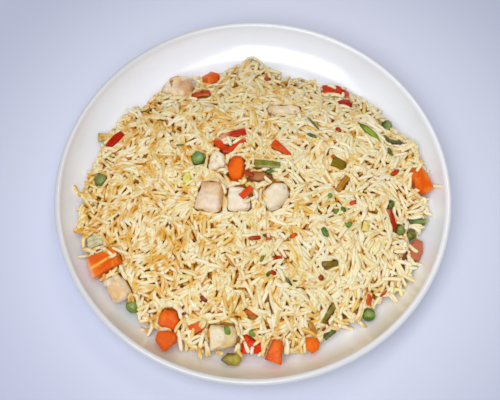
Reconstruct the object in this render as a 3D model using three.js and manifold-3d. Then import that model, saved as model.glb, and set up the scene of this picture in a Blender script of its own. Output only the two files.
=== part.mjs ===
// A plate of coconut fried rice: a white coupe plate, a low heap of long-grain rice,
// and the chicken, carrot, pea, pepper and bean pieces that lie in it.
// Millimetres, +Z up. The origin is the middle of the plate's foot, and +Y is the far side.

import * as THREE from "three";
import { mergeVertices } from "three/addons/utils/BufferGeometryUtils.js";
import Module from "manifold-3d";

const wasm = await Module();
wasm.setup();

const radians = THREE.MathUtils.degToRad;
const UP = new THREE.Vector3(0, 0, 1);
const GOLDEN_ANGLE = Math.PI * (3 - Math.sqrt(5));

// Driving dimensions of the plate
const PLATE_RADIUS = 135;
const PLATE_HEIGHT = 28;
const PLATE_SIDES = 48;
const FLOOR_RADIUS = 104;
const FLOOR_TOP = 7.5;
const WALL_THICKNESS = 4.6;
const WALL_TURN = radians(65);
const WALL_STEPS = 4;
const LIP_STEPS = 3;
const FOOT_RADIUS = 86;
const FOOT_WIDTH = 6;
const FOOT_BEVEL = 0.8;

// Driving dimensions of the heap. Its outline radii go round from +X in equal steps.
const HEAP_RADII = [
  119, 121, 115, 110, 102, 101, 108, 100, 106, 107, 112, 114,
  118, 120, 119, 114, 117, 116, 114, 114, 110, 114, 119, 117,
];
const HEAP_RISE = 30;
const HEAP_EDGE = 2.5;
const DOME_FALL = 2.2;
const DOME_ROUNDNESS = 0.8;
const HEAP_SWELL = 1.3;
const SWELL_LENGTHS = [17, 14, 9];
const SWELL_SHIFTS = [0.8, -0.4];
const CROSS_SWELL = 0.6;
const HEAP_SIDES = 144;
const OUTLINE_JITTER = 1.2;
const UNDERSIDE_INSET = 0.86;
const UNDERSIDE_SHARE = 3;
const GAP = 0.3;
const BED_MARGIN = 0.36;
const SHARPEST_SHARE = 0.35;
const SAFE_GAP = GAP + 0.05;
const TOUCH_GAP = 0.5;
const PRESSED_MARGIN = 0.6;
const PRESSED_STEP = 4.5;

// Driving dimensions of the grains
const GRAIN_LENGTH = 9.5;
const GRAIN_RADIUS = 1.25;
const GRAIN_PITCH = 3.7;
const RIDGE_LENGTH = 4.6;
const RIDGE_CLEAR = 2.35;
const VALLEY_PITCH = 5.2;
const EDGE_CLEAR = 2.6;
const BUMP_RISE = 1.3;
const BUMP_UNEVEN = 0.4;
const BUMP_TILT = 0.8;
const VALLEY_DEPTH = 1.2;
const RIDGE_ATTEMPTS = 30000;
const VALLEY_ATTEMPTS = 40000;
const LENGTH_UNEVEN = 0.8;
const GRAIN_SLOPE = 0.2;
const EDGE_GRAINS = 50;
const EDGE_STRAY = 0.8;
const EDGE_OVERHANG = 1;
const EDGE_UNEVEN = 1.5;
const LOOSE_GRAINS = 13;
const LOOSE_REACH = 0.93;
const SEED = 20;

// Colours, as seen on the food
const COLOURS = {
  glaze: 0xf2f1f3,
  rice: 0xe9d9a8,
  chicken: 0xe8cfae,
  browned: 0xc08a55,
  carrot: 0xee6a1e,
  pepper: 0xcf2418,
  salmon: 0xc06a55,
  pea: 0x5f8f2c,
  bean: 0x4f8a2a,
  leaf: 0x35521f,
  olive: 0x8f9a3a,
  corn: 0xd9cf5a,
  onion: 0xc9cdb0,
};

// A repeatable stream of random numbers from 0 to 1.
function randomStream(seed) {
  let state = seed;
  return () => {
    state = (state + 0x6d2b79f5) | 0;
    let mixed = Math.imul(state ^ (state >>> 15), 1 | state);
    mixed = (mixed + Math.imul(mixed ^ (mixed >>> 7), 61 | mixed)) ^ mixed;
    return ((mixed ^ (mixed >>> 14)) >>> 0) / 4294967296;
  };
}

const random = randomStream(SEED);

function spread(amount) {
  return amount * (2 * random() - 1);
}

function merged(geometry) {
  geometry.deleteAttribute("normal");
  geometry.deleteAttribute("uv");
  return mergeVertices(geometry, 1e-4);
}

function toSolid(geometry) {
  return new wasm.Manifold(new wasm.Mesh({
    numProp: 3,
    vertProperties: new Float32Array(geometry.attributes.position.array),
    triVerts: new Uint32Array(geometry.index.array),
  }));
}

function toGeometry(solid) {
  const mesh = solid.getMesh();
  const geometry = new THREE.BufferGeometry();
  geometry.setAttribute("position", new THREE.BufferAttribute(mesh.vertProperties, 3));
  geometry.setIndex(new THREE.BufferAttribute(mesh.triVerts, 1));
  return geometry;
}

// The plate's wall is a stretch of an ellipse that leaves the floor level and ends at the lip.
const LIP_RADIUS = WALL_THICKNESS / 2;
const WALL_REACH = (PLATE_RADIUS - LIP_RADIUS - FLOOR_RADIUS) / Math.sin(WALL_TURN) - LIP_RADIUS;
const WALL_RISE = (PLATE_HEIGHT - FLOOR_TOP - LIP_RADIUS * (1 - Math.cos(WALL_TURN)))
  / (1 - Math.cos(WALL_TURN));

function wallPoint(turn, thickness) {
  return new THREE.Vector2(
    FLOOR_RADIUS + (WALL_REACH + thickness) * Math.sin(turn),
    FLOOR_TOP + WALL_RISE - (WALL_RISE + thickness) * Math.cos(turn),
  );
}

// Height of the plate's inner face at a distance from the axis, at the middle of a side,
// where the flat facets come closest to the axis.
function plateTop(radius) {
  const reach = radius / Math.cos(Math.PI / PLATE_SIDES);
  if (reach <= FLOOR_RADIUS) return FLOOR_TOP;
  let low = wallPoint(0, 0);
  for (let step = 1; step <= WALL_STEPS; step += 1) {
    const high = wallPoint(WALL_TURN * step / WALL_STEPS, 0);
    if (reach <= high.x) {
      return THREE.MathUtils.lerp(low.y, high.y, (reach - low.x) / (high.x - low.x));
    }
    low = high;
  }
  return low.y;
}

function plateGeometry() {
  const underside = FLOOR_TOP - WALL_THICKNESS;
  const footInside = FOOT_RADIUS - FOOT_WIDTH;
  const profile = [
    new THREE.Vector2(0, underside),
    new THREE.Vector2(footInside, underside),
    new THREE.Vector2(footInside + FOOT_BEVEL, 0),
    new THREE.Vector2(FOOT_RADIUS - FOOT_BEVEL, 0),
    new THREE.Vector2(FOOT_RADIUS, underside),
  ];
  for (let step = 0; step <= WALL_STEPS; step += 1) {
    profile.push(wallPoint(WALL_TURN * step / WALL_STEPS, WALL_THICKNESS));
  }
  const lipMiddle = wallPoint(WALL_TURN, LIP_RADIUS);
  for (let step = 1; step < LIP_STEPS; step += 1) {
    const turn = WALL_TURN - Math.PI / 2 + Math.PI * step / LIP_STEPS;
    profile.push(new THREE.Vector2(
      lipMiddle.x + LIP_RADIUS * Math.cos(turn),
      lipMiddle.y + LIP_RADIUS * Math.sin(turn),
    ));
  }
  for (let step = WALL_STEPS; step >= 0; step -= 1) {
    profile.push(wallPoint(WALL_TURN * step / WALL_STEPS, 0));
  }
  profile.push(new THREE.Vector2(0, FLOOR_TOP));
  const geometry = new THREE.LatheGeometry(profile, PLATE_SIDES);
  geometry.rotateX(Math.PI / 2);
  return merged(geometry);
}

// Radius of the heap's outline at an angle, smooth between the stated radii.
function heapRadius(angle) {
  const count = HEAP_RADII.length;
  const place = THREE.MathUtils.euclideanModulo(angle / (2 * Math.PI), 1) * count;
  const index = Math.floor(place) % count;
  const blend = THREE.MathUtils.smoothstep(place - Math.floor(place), 0, 1);
  return THREE.MathUtils.lerp(HEAP_RADII[index], HEAP_RADII[(index + 1) % count], blend);
}

// Height of the heap's surface without its grains.
function heapTop(x, y) {
  const radius = Math.hypot(x, y);
  const share = Math.min(radius / heapRadius(Math.atan2(y, x)), 1);
  const dome = HEAP_RISE * Math.pow(1 - Math.pow(share, DOME_FALL), DOME_ROUNDNESS);
  const wave = Math.sin(x / SWELL_LENGTHS[0] + SWELL_SHIFTS[0])
    * Math.cos(y / SWELL_LENGTHS[1] + SWELL_SHIFTS[1]);
  const crossWave = CROSS_SWELL * Math.sin((x + y) / SWELL_LENGTHS[2]);
  const swell = HEAP_SWELL * (1 - share * share) * (wave + crossWave);
  return plateTop(radius) + GAP + HEAP_EDGE + dome + swell;
}

function insideHeap(x, y, margin) {
  return Math.hypot(x, y) < heapRadius(Math.atan2(y, x)) - margin;
}

// What a topping lies on: the heap, or the plate beyond the heap's outline.
function support(x, y) {
  const onHeap = insideHeap(x, y, -OUTLINE_JITTER);
  return onHeap ? heapTop(x, y) : plateTop(Math.hypot(x, y)) + GAP;
}

// Delaunay triangulation of points in the plane, adding one point at a time. It starts from
// one triangle whose corners are far outside them all.
function triangulate(points) {
  const far = 100 * PLATE_RADIUS;
  const count = points.length;
  const all = [
    ...points,
    new THREE.Vector2(-far, -far),
    new THREE.Vector2(far, -far),
    new THREE.Vector2(0, far),
  ];

  function face(a, b, c) {
    const [p, q, r] = [all[a], all[b], all[c]];
    const turn = 2 * (p.x * (q.y - r.y) + q.x * (r.y - p.y) + r.x * (p.y - q.y));
    const [pp, qq, rr] = [p.lengthSq(), q.lengthSq(), r.lengthSq()];
    const centre = new THREE.Vector2(
      (pp * (q.y - r.y) + qq * (r.y - p.y) + rr * (p.y - q.y)) / turn,
      (pp * (r.x - q.x) + qq * (p.x - r.x) + rr * (q.x - p.x)) / turn,
    );
    return { corners: [a, b, c], centre, reach: centre.distanceToSquared(p) };
  }

  let faces = [face(count, count + 1, count + 2)];
  points.forEach((point, index) => {
    const rim = new Map();
    const kept = [];
    for (const old of faces) {
      if (point.distanceToSquared(old.centre) >= old.reach) {
        kept.push(old);
        continue;
      }
      const [a, b, c] = old.corners;
      for (const [start, end] of [[a, b], [b, c], [c, a]]) {
        if (!rim.delete(`${end} ${start}`)) rim.set(`${start} ${end}`, [start, end]);
      }
    }
    for (const [start, end] of rim.values()) kept.push(face(start, end, index));
    faces = kept;
  });
  return faces.map((item) => item.corners).filter((corners) => Math.max(...corners) < count);
}

// The heap's outline, one point for each side.
function outlinePoints() {
  const points = [];
  for (let side = 0; side < HEAP_SIDES; side += 1) {
    const angle = 2 * Math.PI * side / HEAP_SIDES;
    const radius = heapRadius(angle) + spread(OUTLINE_JITTER);
    points.push(new THREE.Vector2(radius * Math.cos(angle), radius * Math.sin(angle)));
  }
  return points;
}

function randomPlace() {
  const angle = 2 * Math.PI * random();
  const radius = heapRadius(angle) * Math.sqrt(random());
  return new THREE.Vector2(radius * Math.cos(angle), radius * Math.sin(angle));
}

function clearOf(point, others, distance) {
  return others.every((other) => point.distanceTo(other) >= distance);
}

// Whether a point in plan lies under a piece, or within a margin of it.
function covers(piece, point, margin) {
  const heading = radians(piece.turn);
  const [x, y] = [point.x - piece.at[0], point.y - piece.at[1]];
  const along = x * Math.cos(heading) + y * Math.sin(heading);
  const across = y * Math.cos(heading) - x * Math.sin(heading);
  return Math.abs(along) < piece.size[0] / 2 + margin
    && Math.abs(across) < piece.size[1] / 2 + margin;
}

// The edge of the patch of rice that a thin piece lies flat on.
function pressedEdge(piece) {
  const [length, width] = piece.size.map((value) => value + 2 * PRESSED_MARGIN);
  const heading = radians(piece.turn);
  const corners = [[-1, -1], [1, -1], [1, 1], [-1, 1]].map(([along, across]) => (
    new THREE.Vector2(along * length / 2, across * width / 2)
      .rotateAround(new THREE.Vector2(), heading)
      .add(new THREE.Vector2(...piece.at))
  ));
  return corners.flatMap((corner, index) => {
    const next = corners[(index + 1) % corners.length];
    const steps = Math.ceil(corner.distanceTo(next) / PRESSED_STEP);
    return Array.from({ length: steps }, (_, step) => corner.clone().lerp(next, step / steps));
  });
}

// The heap: grains show as ridges of their own size and heading, with valleys between them.
function heapSolid() {
  const outline = outlinePoints();
  const edge = outline.flatMap((point, side) => {
    const next = outline[(side + 1) % HEAP_SIDES];
    return [point, point.clone().lerp(next, 0.5)];
  });
  const pressed = PIECES.filter(({ shape, on }) => shape === strip && !on).flatMap(pressedEdge)
    .filter((point) => clearOf(point, edge, EDGE_CLEAR) && insideHeap(point.x, point.y, 0));
  const ridges = [];
  const ridgeEnds = [];
  for (let attempt = 0; attempt < RIDGE_ATTEMPTS; attempt += 1) {
    const middle = randomPlace();
    const heading = Math.PI * random();
    const half = new THREE.Vector2(Math.cos(heading), Math.sin(heading))
      .multiplyScalar(RIDGE_LENGTH / 2);
    const grain = [middle.clone().add(half), middle, middle.clone().sub(half)];
    if (!grain.every((point) => clearOf(point, edge, EDGE_CLEAR))) continue;
    if (!grain.every((point) => clearOf(point, pressed, RIDGE_CLEAR))) continue;
    if (PIECES.some((piece) => covers(piece, middle, 0))) continue;
    if (!grain.every((point) => clearOf(point, ridges, GRAIN_PITCH))) continue;
    ridges.push(...grain);
    const rise = BUMP_RISE + spread(BUMP_UNEVEN);
    const tilt = spread(BUMP_TILT);
    ridgeEnds.push([grain[0], rise + tilt], [grain[2], rise - tilt]);
  }
  const valleys = [];
  for (let attempt = 0; attempt < VALLEY_ATTEMPTS; attempt += 1) {
    const point = randomPlace();
    if (!clearOf(point, edge, EDGE_CLEAR) || !clearOf(point, ridges, RIDGE_CLEAR)) continue;
    if (!clearOf(point, pressed, RIDGE_CLEAR)) continue;
    if (PIECES.some((piece) => covers(piece, point, 0))) continue;
    if (clearOf(point, valleys, VALLEY_PITCH)) valleys.push(point);
  }
  valleys.push(...pressed);

  const flat = [...outline, ...ridgeEnds.map(([point]) => point), ...valleys];
  const rises = [
    ...outline.map(() => 0),
    ...ridgeEnds.map(([, rise]) => rise),
    ...valleys.map(() => -VALLEY_DEPTH),
  ];
  const positions = flat.flatMap((point, index) => [
    point.x,
    point.y,
    heapTop(point.x, point.y) + rises[index],
  ]);
  const faces = triangulate(flat).filter((corners) => {
    const x = (flat[corners[0]].x + flat[corners[1]].x + flat[corners[2]].x) / 3;
    const y = (flat[corners[0]].y + flat[corners[1]].y + flat[corners[2]].y) / 3;
    const turn = THREE.MathUtils.euclideanModulo(Math.atan2(y, x), 2 * Math.PI);
    const side = Math.floor(turn / (2 * Math.PI) * HEAP_SIDES) % HEAP_SIDES;
    const start = outline[side];
    const end = outline[(side + 1) % HEAP_SIDES];
    return (end.x - start.x) * (y - start.y) - (end.y - start.y) * (x - start.x) > 0;
  });

  // The underside follows the plate: the outline's own points, an inner ring, and the middle.
  const low = positions.length / 3;
  for (const point of outline) {
    positions.push(point.x, point.y, plateTop(point.length()) + GAP);
  }
  const ring = positions.length / 3;
  const ringCount = HEAP_SIDES / UNDERSIDE_SHARE;
  for (let index = 0; index < ringCount; index += 1) {
    const point = outline[index * UNDERSIDE_SHARE].clone().multiplyScalar(UNDERSIDE_INSET);
    positions.push(point.x, point.y, plateTop(point.length()) + GAP);
  }
  const middle = positions.length / 3;
  positions.push(0, 0, FLOOR_TOP + GAP);
  for (let side = 0; side < HEAP_SIDES; side += 1) {
    const next = (side + 1) % HEAP_SIDES;
    faces.push([side, low + side, low + next], [side, low + next, next]);
    const inner = ring + Math.floor(side / UNDERSIDE_SHARE);
    const innerNext = ring + (Math.floor(side / UNDERSIDE_SHARE) + 1) % ringCount;
    faces.push([low + side, inner, low + next]);
    if (next % UNDERSIDE_SHARE === 0) {
      faces.push([inner, innerNext, low + next], [inner, middle, innerNext]);
    }
  }

  const geometry = new THREE.BufferGeometry();
  geometry.setAttribute("position", new THREE.Float32BufferAttribute(positions, 3));
  geometry.setIndex(faces.flat());
  return toSolid(geometry);
}

// Shapes of the pieces. Each lies along X with its middle at the origin.

// Moves every vertex a little, by its own place, so that the piece is uneven.
function roughen(geometry, amount, seed) {
  const stream = randomStream(seed);
  const shifts = [stream(), stream(), stream()].map((value) => value * 2 * Math.PI);
  const position = geometry.attributes.position;
  const point = new THREE.Vector3();
  for (let index = 0; index < position.count; index += 1) {
    point.fromBufferAttribute(position, index);
    point.x += amount * Math.sin(point.y * 0.7 + point.z * 0.5 + shifts[0]);
    point.y += amount * Math.sin(point.x * 0.6 + point.z * 0.8 + shifts[1]);
    point.z += amount * Math.sin(point.x * 0.5 + point.y * 0.9 + shifts[2]);
    position.setXYZ(index, point.x, point.y, point.z);
  }
  return geometry;
}

// Outlines of the cut pieces, as shares of half their length and half their width.
const CUTS = {
  block: [[-1, -1], [1, -0.85], [1, 0.85], [-1, 1]],
  wedge: [[-1, -1], [1, -0.35], [1, 0.35], [-1, 1]],
  barrel: [[-1, -0.7], [0, -1], [1, -0.65], [1, 0.65], [0, 1], [-1, 0.7]],
  dome: [[-1, -0.85], [0.1, -1], [0.8, -0.6], [1, 0], [0.8, 0.6], [0.1, 1], [-1, 0.85]],
  heart: [[-0.8, -0.85], [-0.1, -1], [1, -0.12], [1, 0.12], [-0.1, 1], [-0.9, 0.8], [-0.7, 0]],
  hexagon: [[-1, -0.4], [-0.3, -1], [0.7, -0.9], [1, 0], [0.6, 1], [-0.4, 0.9]],
  lobes: [[-1, -0.4], [-0.4, -1], [0.1, -0.6], [0.6, -1], [1, -0.3], [0.9, 0.8], [-0.1, 1], [-0.9, 0.7]],
  torn: [[-1, -0.7], [-0.2, -1], [1, -0.55], [0.75, 0.85], [-0.3, 1], [-0.95, 0.5]],
  egg: [[-1, -0.4], [-0.5, -0.9], [0.4, -1], [1, -0.45], [1, 0.4], [0.3, 1], [-0.5, 0.9], [-1, 0.45]],
  hump: [[-1, -0.6], [-0.3, -0.5], [0.5, -0.5], [1, -0.5], [1, 0], [0.5, 0.75], [-0.1, 1], [-0.7, 0.7]],
  vee: [[-1, 0.7], [-0.35, -1], [0, -0.95], [1, 0.6], [0.95, 0.9], [-0.1, -0.45], [-0.72, 0.95]],
  broken: [[-1, -0.85], [0.5, -1], [1, -0.2], [0.8, 0.9], [0, 0.75], [-0.8, 1]],
};

// A piece cut or torn to an outline, with bevelled edges and uneven faces.
function chunk({ size, cut, bevel = 1.6, rough = 0.5, seed = 1 }) {
  const [length, width, height] = size;
  const outline = CUTS[cut].map(([along, across]) => (
    new THREE.Vector2(along * (length / 2 - bevel), across * (width / 2 - bevel))
  ));
  const geometry = new THREE.ExtrudeGeometry(new THREE.Shape(outline), {
    depth: height - 2 * bevel,
    bevelSize: bevel,
    bevelThickness: bevel,
    bevelSegments: 1,
  });
  geometry.translate(0, 0, bevel - height / 2);
  return roughen(merged(geometry), rough, seed);
}

// A thin strip of skin or leaf. arch bends its length up or down, curl bends it sideways.
function strip({ size, arch = 0, curl = 0, taper = 1, wave = 0 }) {
  const [length, width, height] = size;
  const geometry = merged(new THREE.BoxGeometry(length, width, height, 4, 1, 1));
  const position = geometry.attributes.position;
  const point = new THREE.Vector3();
  for (let index = 0; index < position.count; index += 1) {
    point.fromBufferAttribute(position, index);
    const along = point.x / (length / 2);
    const bow = 1 - along * along;
    point.y *= THREE.MathUtils.lerp(1, taper, (along + 1) / 2);
    point.y += curl * bow;
    point.z += arch * bow + wave * Math.sin(along * 4);
    position.setXYZ(index, point.x, point.y, point.z);
  }
  return geometry;
}

// A pea or another round piece, a little flattened and dented.
function ball({ size, rough = 0.25, seed = 1 }) {
  const [length, width, height] = size;
  const geometry = merged(new THREE.IcosahedronGeometry(0.5, 1));
  geometry.scale(length, width, height);
  return roughen(geometry, rough, seed);
}

// A length of bean pod, bowed along its length, with blunt or pointed tips.
function pod({ size, arch = 0, curl = 0, tip = 0.3 }) {
  const [length, width, height] = size;
  const profile = [
    [0, -length / 2],
    [width * tip, -length / 2 + 0.4],
    [width / 2, -length / 5],
    [width / 2, length / 5],
    [width * tip, length / 2 - 0.4],
    [0, length / 2],
  ].map(([radius, place]) => new THREE.Vector2(radius, place));
  const geometry = merged(new THREE.LatheGeometry(profile, 6));
  geometry.rotateZ(-Math.PI / 2);
  geometry.scale(1, 1, height / width);
  const position = geometry.attributes.position;
  for (let index = 0; index < position.count; index += 1) {
    const along = position.getX(index) / (length / 2);
    position.setY(index, position.getY(index) + curl * (1 - along * along));
    position.setZ(index, position.getZ(index) + arch * (1 - along * along));
  }
  return geometry;
}

// A slice across a pod: a short thick ring, dished where its seeds were.
function slice({ size, dish = 0.9 }) {
  const [length, width, height] = size;
  const profile = [
    [0, -height / 2],
    [0.42, -height / 2],
    [0.5, 0],
    [0.44, height / 2],
    [0.26, height / 2],
    [0, height / 2 - dish],
  ].map(([share, rise]) => new THREE.Vector2(share, rise));
  const geometry = merged(new THREE.LatheGeometry(profile, 8));
  geometry.rotateX(Math.PI / 2);
  geometry.scale(length, width, 1);
  return geometry;
}

// The pieces that lie in the rice. at is the place in plan, turn the heading from +X, roll
// a turn about its own length, and sunk how deep its underside lies in the heap. A strip
// isn't sunk: it lies on a pressed patch of rice, on the plate, or on another piece, which
// on names and which comes earlier in the list.
const PIECES = [
  { name: "chicken_far_left", shape: chunk, cut: "torn", colour: "chicken", at: [-53.5, 84.5],
    turn: -17, size: [25, 17.5, 10], bevel: 2.2, rough: 0.8, seed: 3, sunk: 3 },
  { name: "chicken_far", shape: chunk, cut: "barrel", colour: "chicken", at: [22, 58],
    turn: 6, size: [24, 10, 8], bevel: 1.6, rough: 0.6, seed: 4, sunk: 5 },
  { name: "chicken_middle_left", shape: chunk, cut: "block", colour: "chicken", at: [-28, -12],
    turn: 80, size: [20, 17, 11], bevel: 1.8, rough: 0.8, seed: 5, sunk: 5.5 },
  { name: "chicken_middle", shape: chunk, cut: "block", colour: "chicken", at: [-9.5, -13],
    turn: 94, size: [17, 14.5, 10], bevel: 1.8, rough: 0.6, seed: 6, sunk: 5 },
  { name: "chicken_middle_right", shape: chunk, cut: "hexagon", colour: "chicken", at: [15.3, -12],
    turn: 52, size: [21, 15, 11], bevel: 2.2, rough: 0.7, seed: 7, sunk: 5 },
  { name: "chicken_browned", shape: chunk, cut: "hump", colour: "browned", at: [4.6, 1.5],
    turn: 0, size: [18, 8, 7], bevel: 1.4, rough: 0.4, seed: 8, sunk: 2.5 },
  { name: "chicken_round", shape: chunk, cut: "hexagon", colour: "chicken", at: [-24.8, 14.8],
    turn: 22, size: [14, 13.5, 9.5], bevel: 2.2, rough: 0.4, seed: 9, sunk: 4 },
  { name: "chicken_left", shape: chunk, cut: "broken", colour: "chicken", at: [-89, -69],
    turn: -59, size: [19, 14, 11], bevel: 1.8, rough: 0.7, seed: 10, sunk: 3.5 },
  { name: "chicken_front", shape: chunk, cut: "broken", colour: "chicken", at: [-19, -102],
    turn: 5, size: [20, 17, 12], bevel: 2, rough: 0.7, seed: 11, sunk: 4.5 },

  { name: "carrot_far", shape: chunk, cut: "block", colour: "carrot", at: [-30.5, 93],
    turn: 45, size: [11, 10, 8], seed: 12, sunk: 3 },
  { name: "carrot_middle", shape: chunk, cut: "egg", colour: "carrot", at: [-10.9, 8.4],
    turn: 88, size: [16.5, 11.6, 10], bevel: 2, seed: 13, sunk: 4.5 },
  { name: "carrot_right", shape: chunk, cut: "lobes", colour: "carrot", at: [115.3, 8.8],
    turn: -62, size: [20, 14, 7], bevel: 1.4, seed: 14, sunk: 2.5 },
  { name: "carrot_left", shape: chunk, cut: "block", colour: "carrot", at: [-99, -51],
    turn: 22, size: [22, 15, 9], bevel: 1.4, seed: 15, sunk: 2.5 },
  { name: "carrot_front_left", shape: chunk, cut: "dome", colour: "carrot", at: [-54.5, -89.5],
    turn: 72, size: [12.5, 13.5, 8], bevel: 1.4, seed: 16, sunk: 3.5 },
  { name: "carrot_front_low", shape: chunk, cut: "heart", colour: "carrot", at: [-55.8, -104.8],
    turn: -92, size: [13, 13.5, 7], bevel: 1.3, seed: 17, sunk: 2.5 },
  { name: "carrot_front", shape: chunk, cut: "wedge", colour: "carrot", at: [14.2, -111],
    turn: 78, size: [14.5, 11.5, 8], bevel: 1.3, seed: 18, sunk: 2.5 },
  { name: "carrot_front_right", shape: chunk, cut: "hexagon", colour: "carrot", at: [38, -106.7],
    turn: 79, size: [10, 9.5, 7], bevel: 1.3, seed: 19, sunk: 2.5 },

  { name: "pea_middle", shape: ball, colour: "pea", at: [-37, 18], turn: 60,
    size: [10, 9.2, 8.8], seed: 20, sunk: 3 },
  { name: "pea_left", shape: ball, colour: "pea", at: [-105, 9.5], turn: 0,
    size: [9.4, 9.4, 8.6], seed: 21, sunk: 3 },
  { name: "pea_front_left", shape: ball, colour: "pea", at: [-79, -80], turn: 0,
    size: [10, 9.6, 8.8], seed: 22, sunk: 2.5 },
  { name: "pea_front_right", shape: ball, colour: "pea", at: [76, -86], turn: 0,
    size: [9, 8.8, 8.4], seed: 23, sunk: 2 },
  { name: "pea_right", shape: ball, colour: "pea", at: [99.5, -28], turn: 0,
    size: [6.8, 6.8, 6.4], seed: 24, sunk: 2.5 },

  { name: "pepper_left", shape: strip, colour: "pepper", at: [-97, 41], turn: 39,
    size: [15, 5.5, 2], arch: 1, curl: 0.6, roll: 12 },
  { name: "pepper_far_left", shape: strip, colour: "pepper", at: [-37, 73], turn: 6,
    size: [13, 6, 2], arch: 1, roll: -10 },
  { name: "pepper_middle_upper", shape: strip, colour: "pepper", at: [-13.6, 35.4], turn: 192,
    size: [18, 5.2, 2], arch: 0.8, taper: 0.55, roll: -12 },
  { name: "pepper_middle_lower", shape: chunk, cut: "vee", colour: "pepper", at: [-16, 26.6],
    turn: 2, size: [23, 12, 3.2], bevel: 0.5, rough: 0.2, seed: 32, sunk: 1 },
  { name: "pepper_far_right", shape: strip, colour: "pepper", at: [60, 79], turn: 6,
    size: [21, 7.5, 2], arch: 1.5, curl: 1, roll: 8 },
  { name: "pepper_far_right_low", shape: chunk, cut: "hexagon", colour: "pepper", at: [65.5, 69.5],
    turn: -6, size: [10.5, 7.5, 4.5], bevel: 1.5, rough: 0.3, seed: 33, sunk: 1.5 },
  { name: "pepper_beside_middle", shape: strip, colour: "pepper", at: [19, 24], turn: -40,
    size: [15, 6.5, 2], arch: 1.2, taper: 0.4, roll: 12 },
  { name: "pepper_on_chicken", shape: strip, colour: "pepper", at: [-4.4, -11.4], turn: 40,
    size: [9.6, 4.8, 1.8], arch: 0.6, on: "chicken_middle" },
  { name: "pepper_curved", shape: strip, colour: "pepper", at: [92.6, -22.4], turn: -74,
    size: [15, 3.6, 2], arch: 0.8, curl: 1.4 },
  { name: "pepper_right_edge", shape: chunk, cut: "barrel", colour: "salmon", at: [109.8, -41.2],
    turn: 77, size: [15, 9, 4.5], bevel: 1.3, rough: 0.3, seed: 25, sunk: 1.5 },
  { name: "pepper_front_left", shape: strip, colour: "pepper", at: [-37, -95.8], turn: 21,
    size: [12, 7, 2], arch: 1.2, taper: 0.7, roll: 10 },
  { name: "pepper_front", shape: chunk, cut: "wedge", colour: "pepper", at: [-0.5, -107.5],
    turn: -14, size: [14, 13, 4.5], bevel: 1.1, rough: 0.4, seed: 26, sunk: 1.5 },
  { name: "pepper_front_middle", shape: strip, colour: "pepper", at: [-1.5, -88], turn: -26,
    size: [8.5, 3.6, 1.8], arch: 0.8, taper: 0.3, roll: 8 },

  { name: "bean_far_right", shape: pod, colour: "bean", at: [81.3, 43.6], turn: -41,
    size: [21.5, 5.6, 5], arch: 0.6, curl: 0.8, tip: 0.14, sunk: 2 },
  { name: "bean_round", shape: slice, colour: "bean", at: [95, 53], turn: 0,
    size: [8, 8.6, 5.5], sunk: 1.5, roll: 14 },
  { name: "leaf_far_right", shape: strip, colour: "leaf", at: [100.3, 39.4], turn: 0,
    size: [13, 4, 1], arch: 0.9, curl: -0.8, wave: 0.4, taper: 0.4, roll: -8 },
  { name: "bean_middle", shape: strip, colour: "bean", at: [9.4, 10.4], turn: -2,
    size: [17.6, 5.6, 2.4], arch: 0.4, taper: 0.8, roll: 6 },
  { name: "pepper_green", shape: chunk, cut: "block", colour: "olive", at: [58, 15],
    turn: -22, size: [9, 8, 3.5], bevel: 0.9, rough: 0.3, seed: 27, sunk: 1.5 },
  { name: "bean_right", shape: pod, colour: "bean", at: [112.7, -19.6], turn: 9,
    size: [15, 5, 4.6], curl: -2.2, tip: 0.24, sunk: 1.6 },
  { name: "bean_ring", shape: slice, colour: "olive", at: [107.3, -30], turn: 0,
    size: [7, 6.6, 4], sunk: 1.4, roll: -12 },
  { name: "leaf_right", shape: strip, colour: "leaf", at: [93.5, -11], turn: 60,
    size: [7, 5, 1], arch: 0.8, wave: 0.3, taper: 0.4, roll: 10 },
  { name: "bean_sliver", shape: strip, colour: "olive", at: [50, -56], turn: 5,
    size: [10.5, 3.6, 2], arch: 0.8, roll: 10 },
  { name: "bean_front", shape: chunk, cut: "hexagon", colour: "olive", at: [-14.2, -115.4],
    turn: -8, size: [13, 8, 4.5], bevel: 1.1, rough: 0.3, seed: 28, sunk: 1.2 },
  { name: "leaf_front", shape: strip, colour: "leaf", at: [49.3, -85.6], turn: 60,
    size: [14, 3.2, 1], arch: 0.8, wave: 0.4, roll: 10 },
  { name: "leaf_front_right", shape: strip, colour: "leaf", at: [49.8, -98.3], turn: 42,
    size: [9, 3.8, 1], arch: 0.6, wave: 0.3, roll: -10 },
  { name: "corn_left", shape: chunk, cut: "block", colour: "olive", at: [-106, 45.5],
    turn: 0, size: [8, 6, 4], bevel: 1, rough: 0.2, seed: 29, sunk: 1.6 },
  { name: "corn_middle_left", shape: chunk, cut: "barrel", colour: "corn", at: [-44.5, 3],
    turn: 82, size: [9, 5.5, 4], bevel: 1, rough: 0.2, seed: 30, sunk: 1.6 },
  { name: "corn_right", shape: chunk, cut: "block", colour: "corn", at: [75, -29],
    turn: 78, size: [7.5, 5, 4], bevel: 1, rough: 0.2, seed: 31, sunk: 1.6 },
  { name: "onion_left", shape: strip, colour: "onion", at: [-106, -36], turn: 10,
    size: [11, 9, 1.4], arch: 1.6, taper: 0.7, wave: 0.3 },
  { name: "onion_right", shape: strip, colour: "browned", at: [60.5, -0.3],
    turn: 56, size: [13.5, 4, 1.4], arch: 1, curl: 0.6, roll: 10 },
];

// The lift of a piece's outward side: the slope of what it lies on, across the piece.
function leanOf({ at, size }) {
  const radius = Math.hypot(...at);
  const reach = Math.min(size[0], size[1]) / 2;
  const [inner, outer] = [1 - reach / radius, 1 + reach / radius];
  const rise = support(at[0] * outer, at[1] * outer) - support(at[0] * inner, at[1] * inner);
  return Math.atan2(rise, 2 * reach);
}

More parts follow.
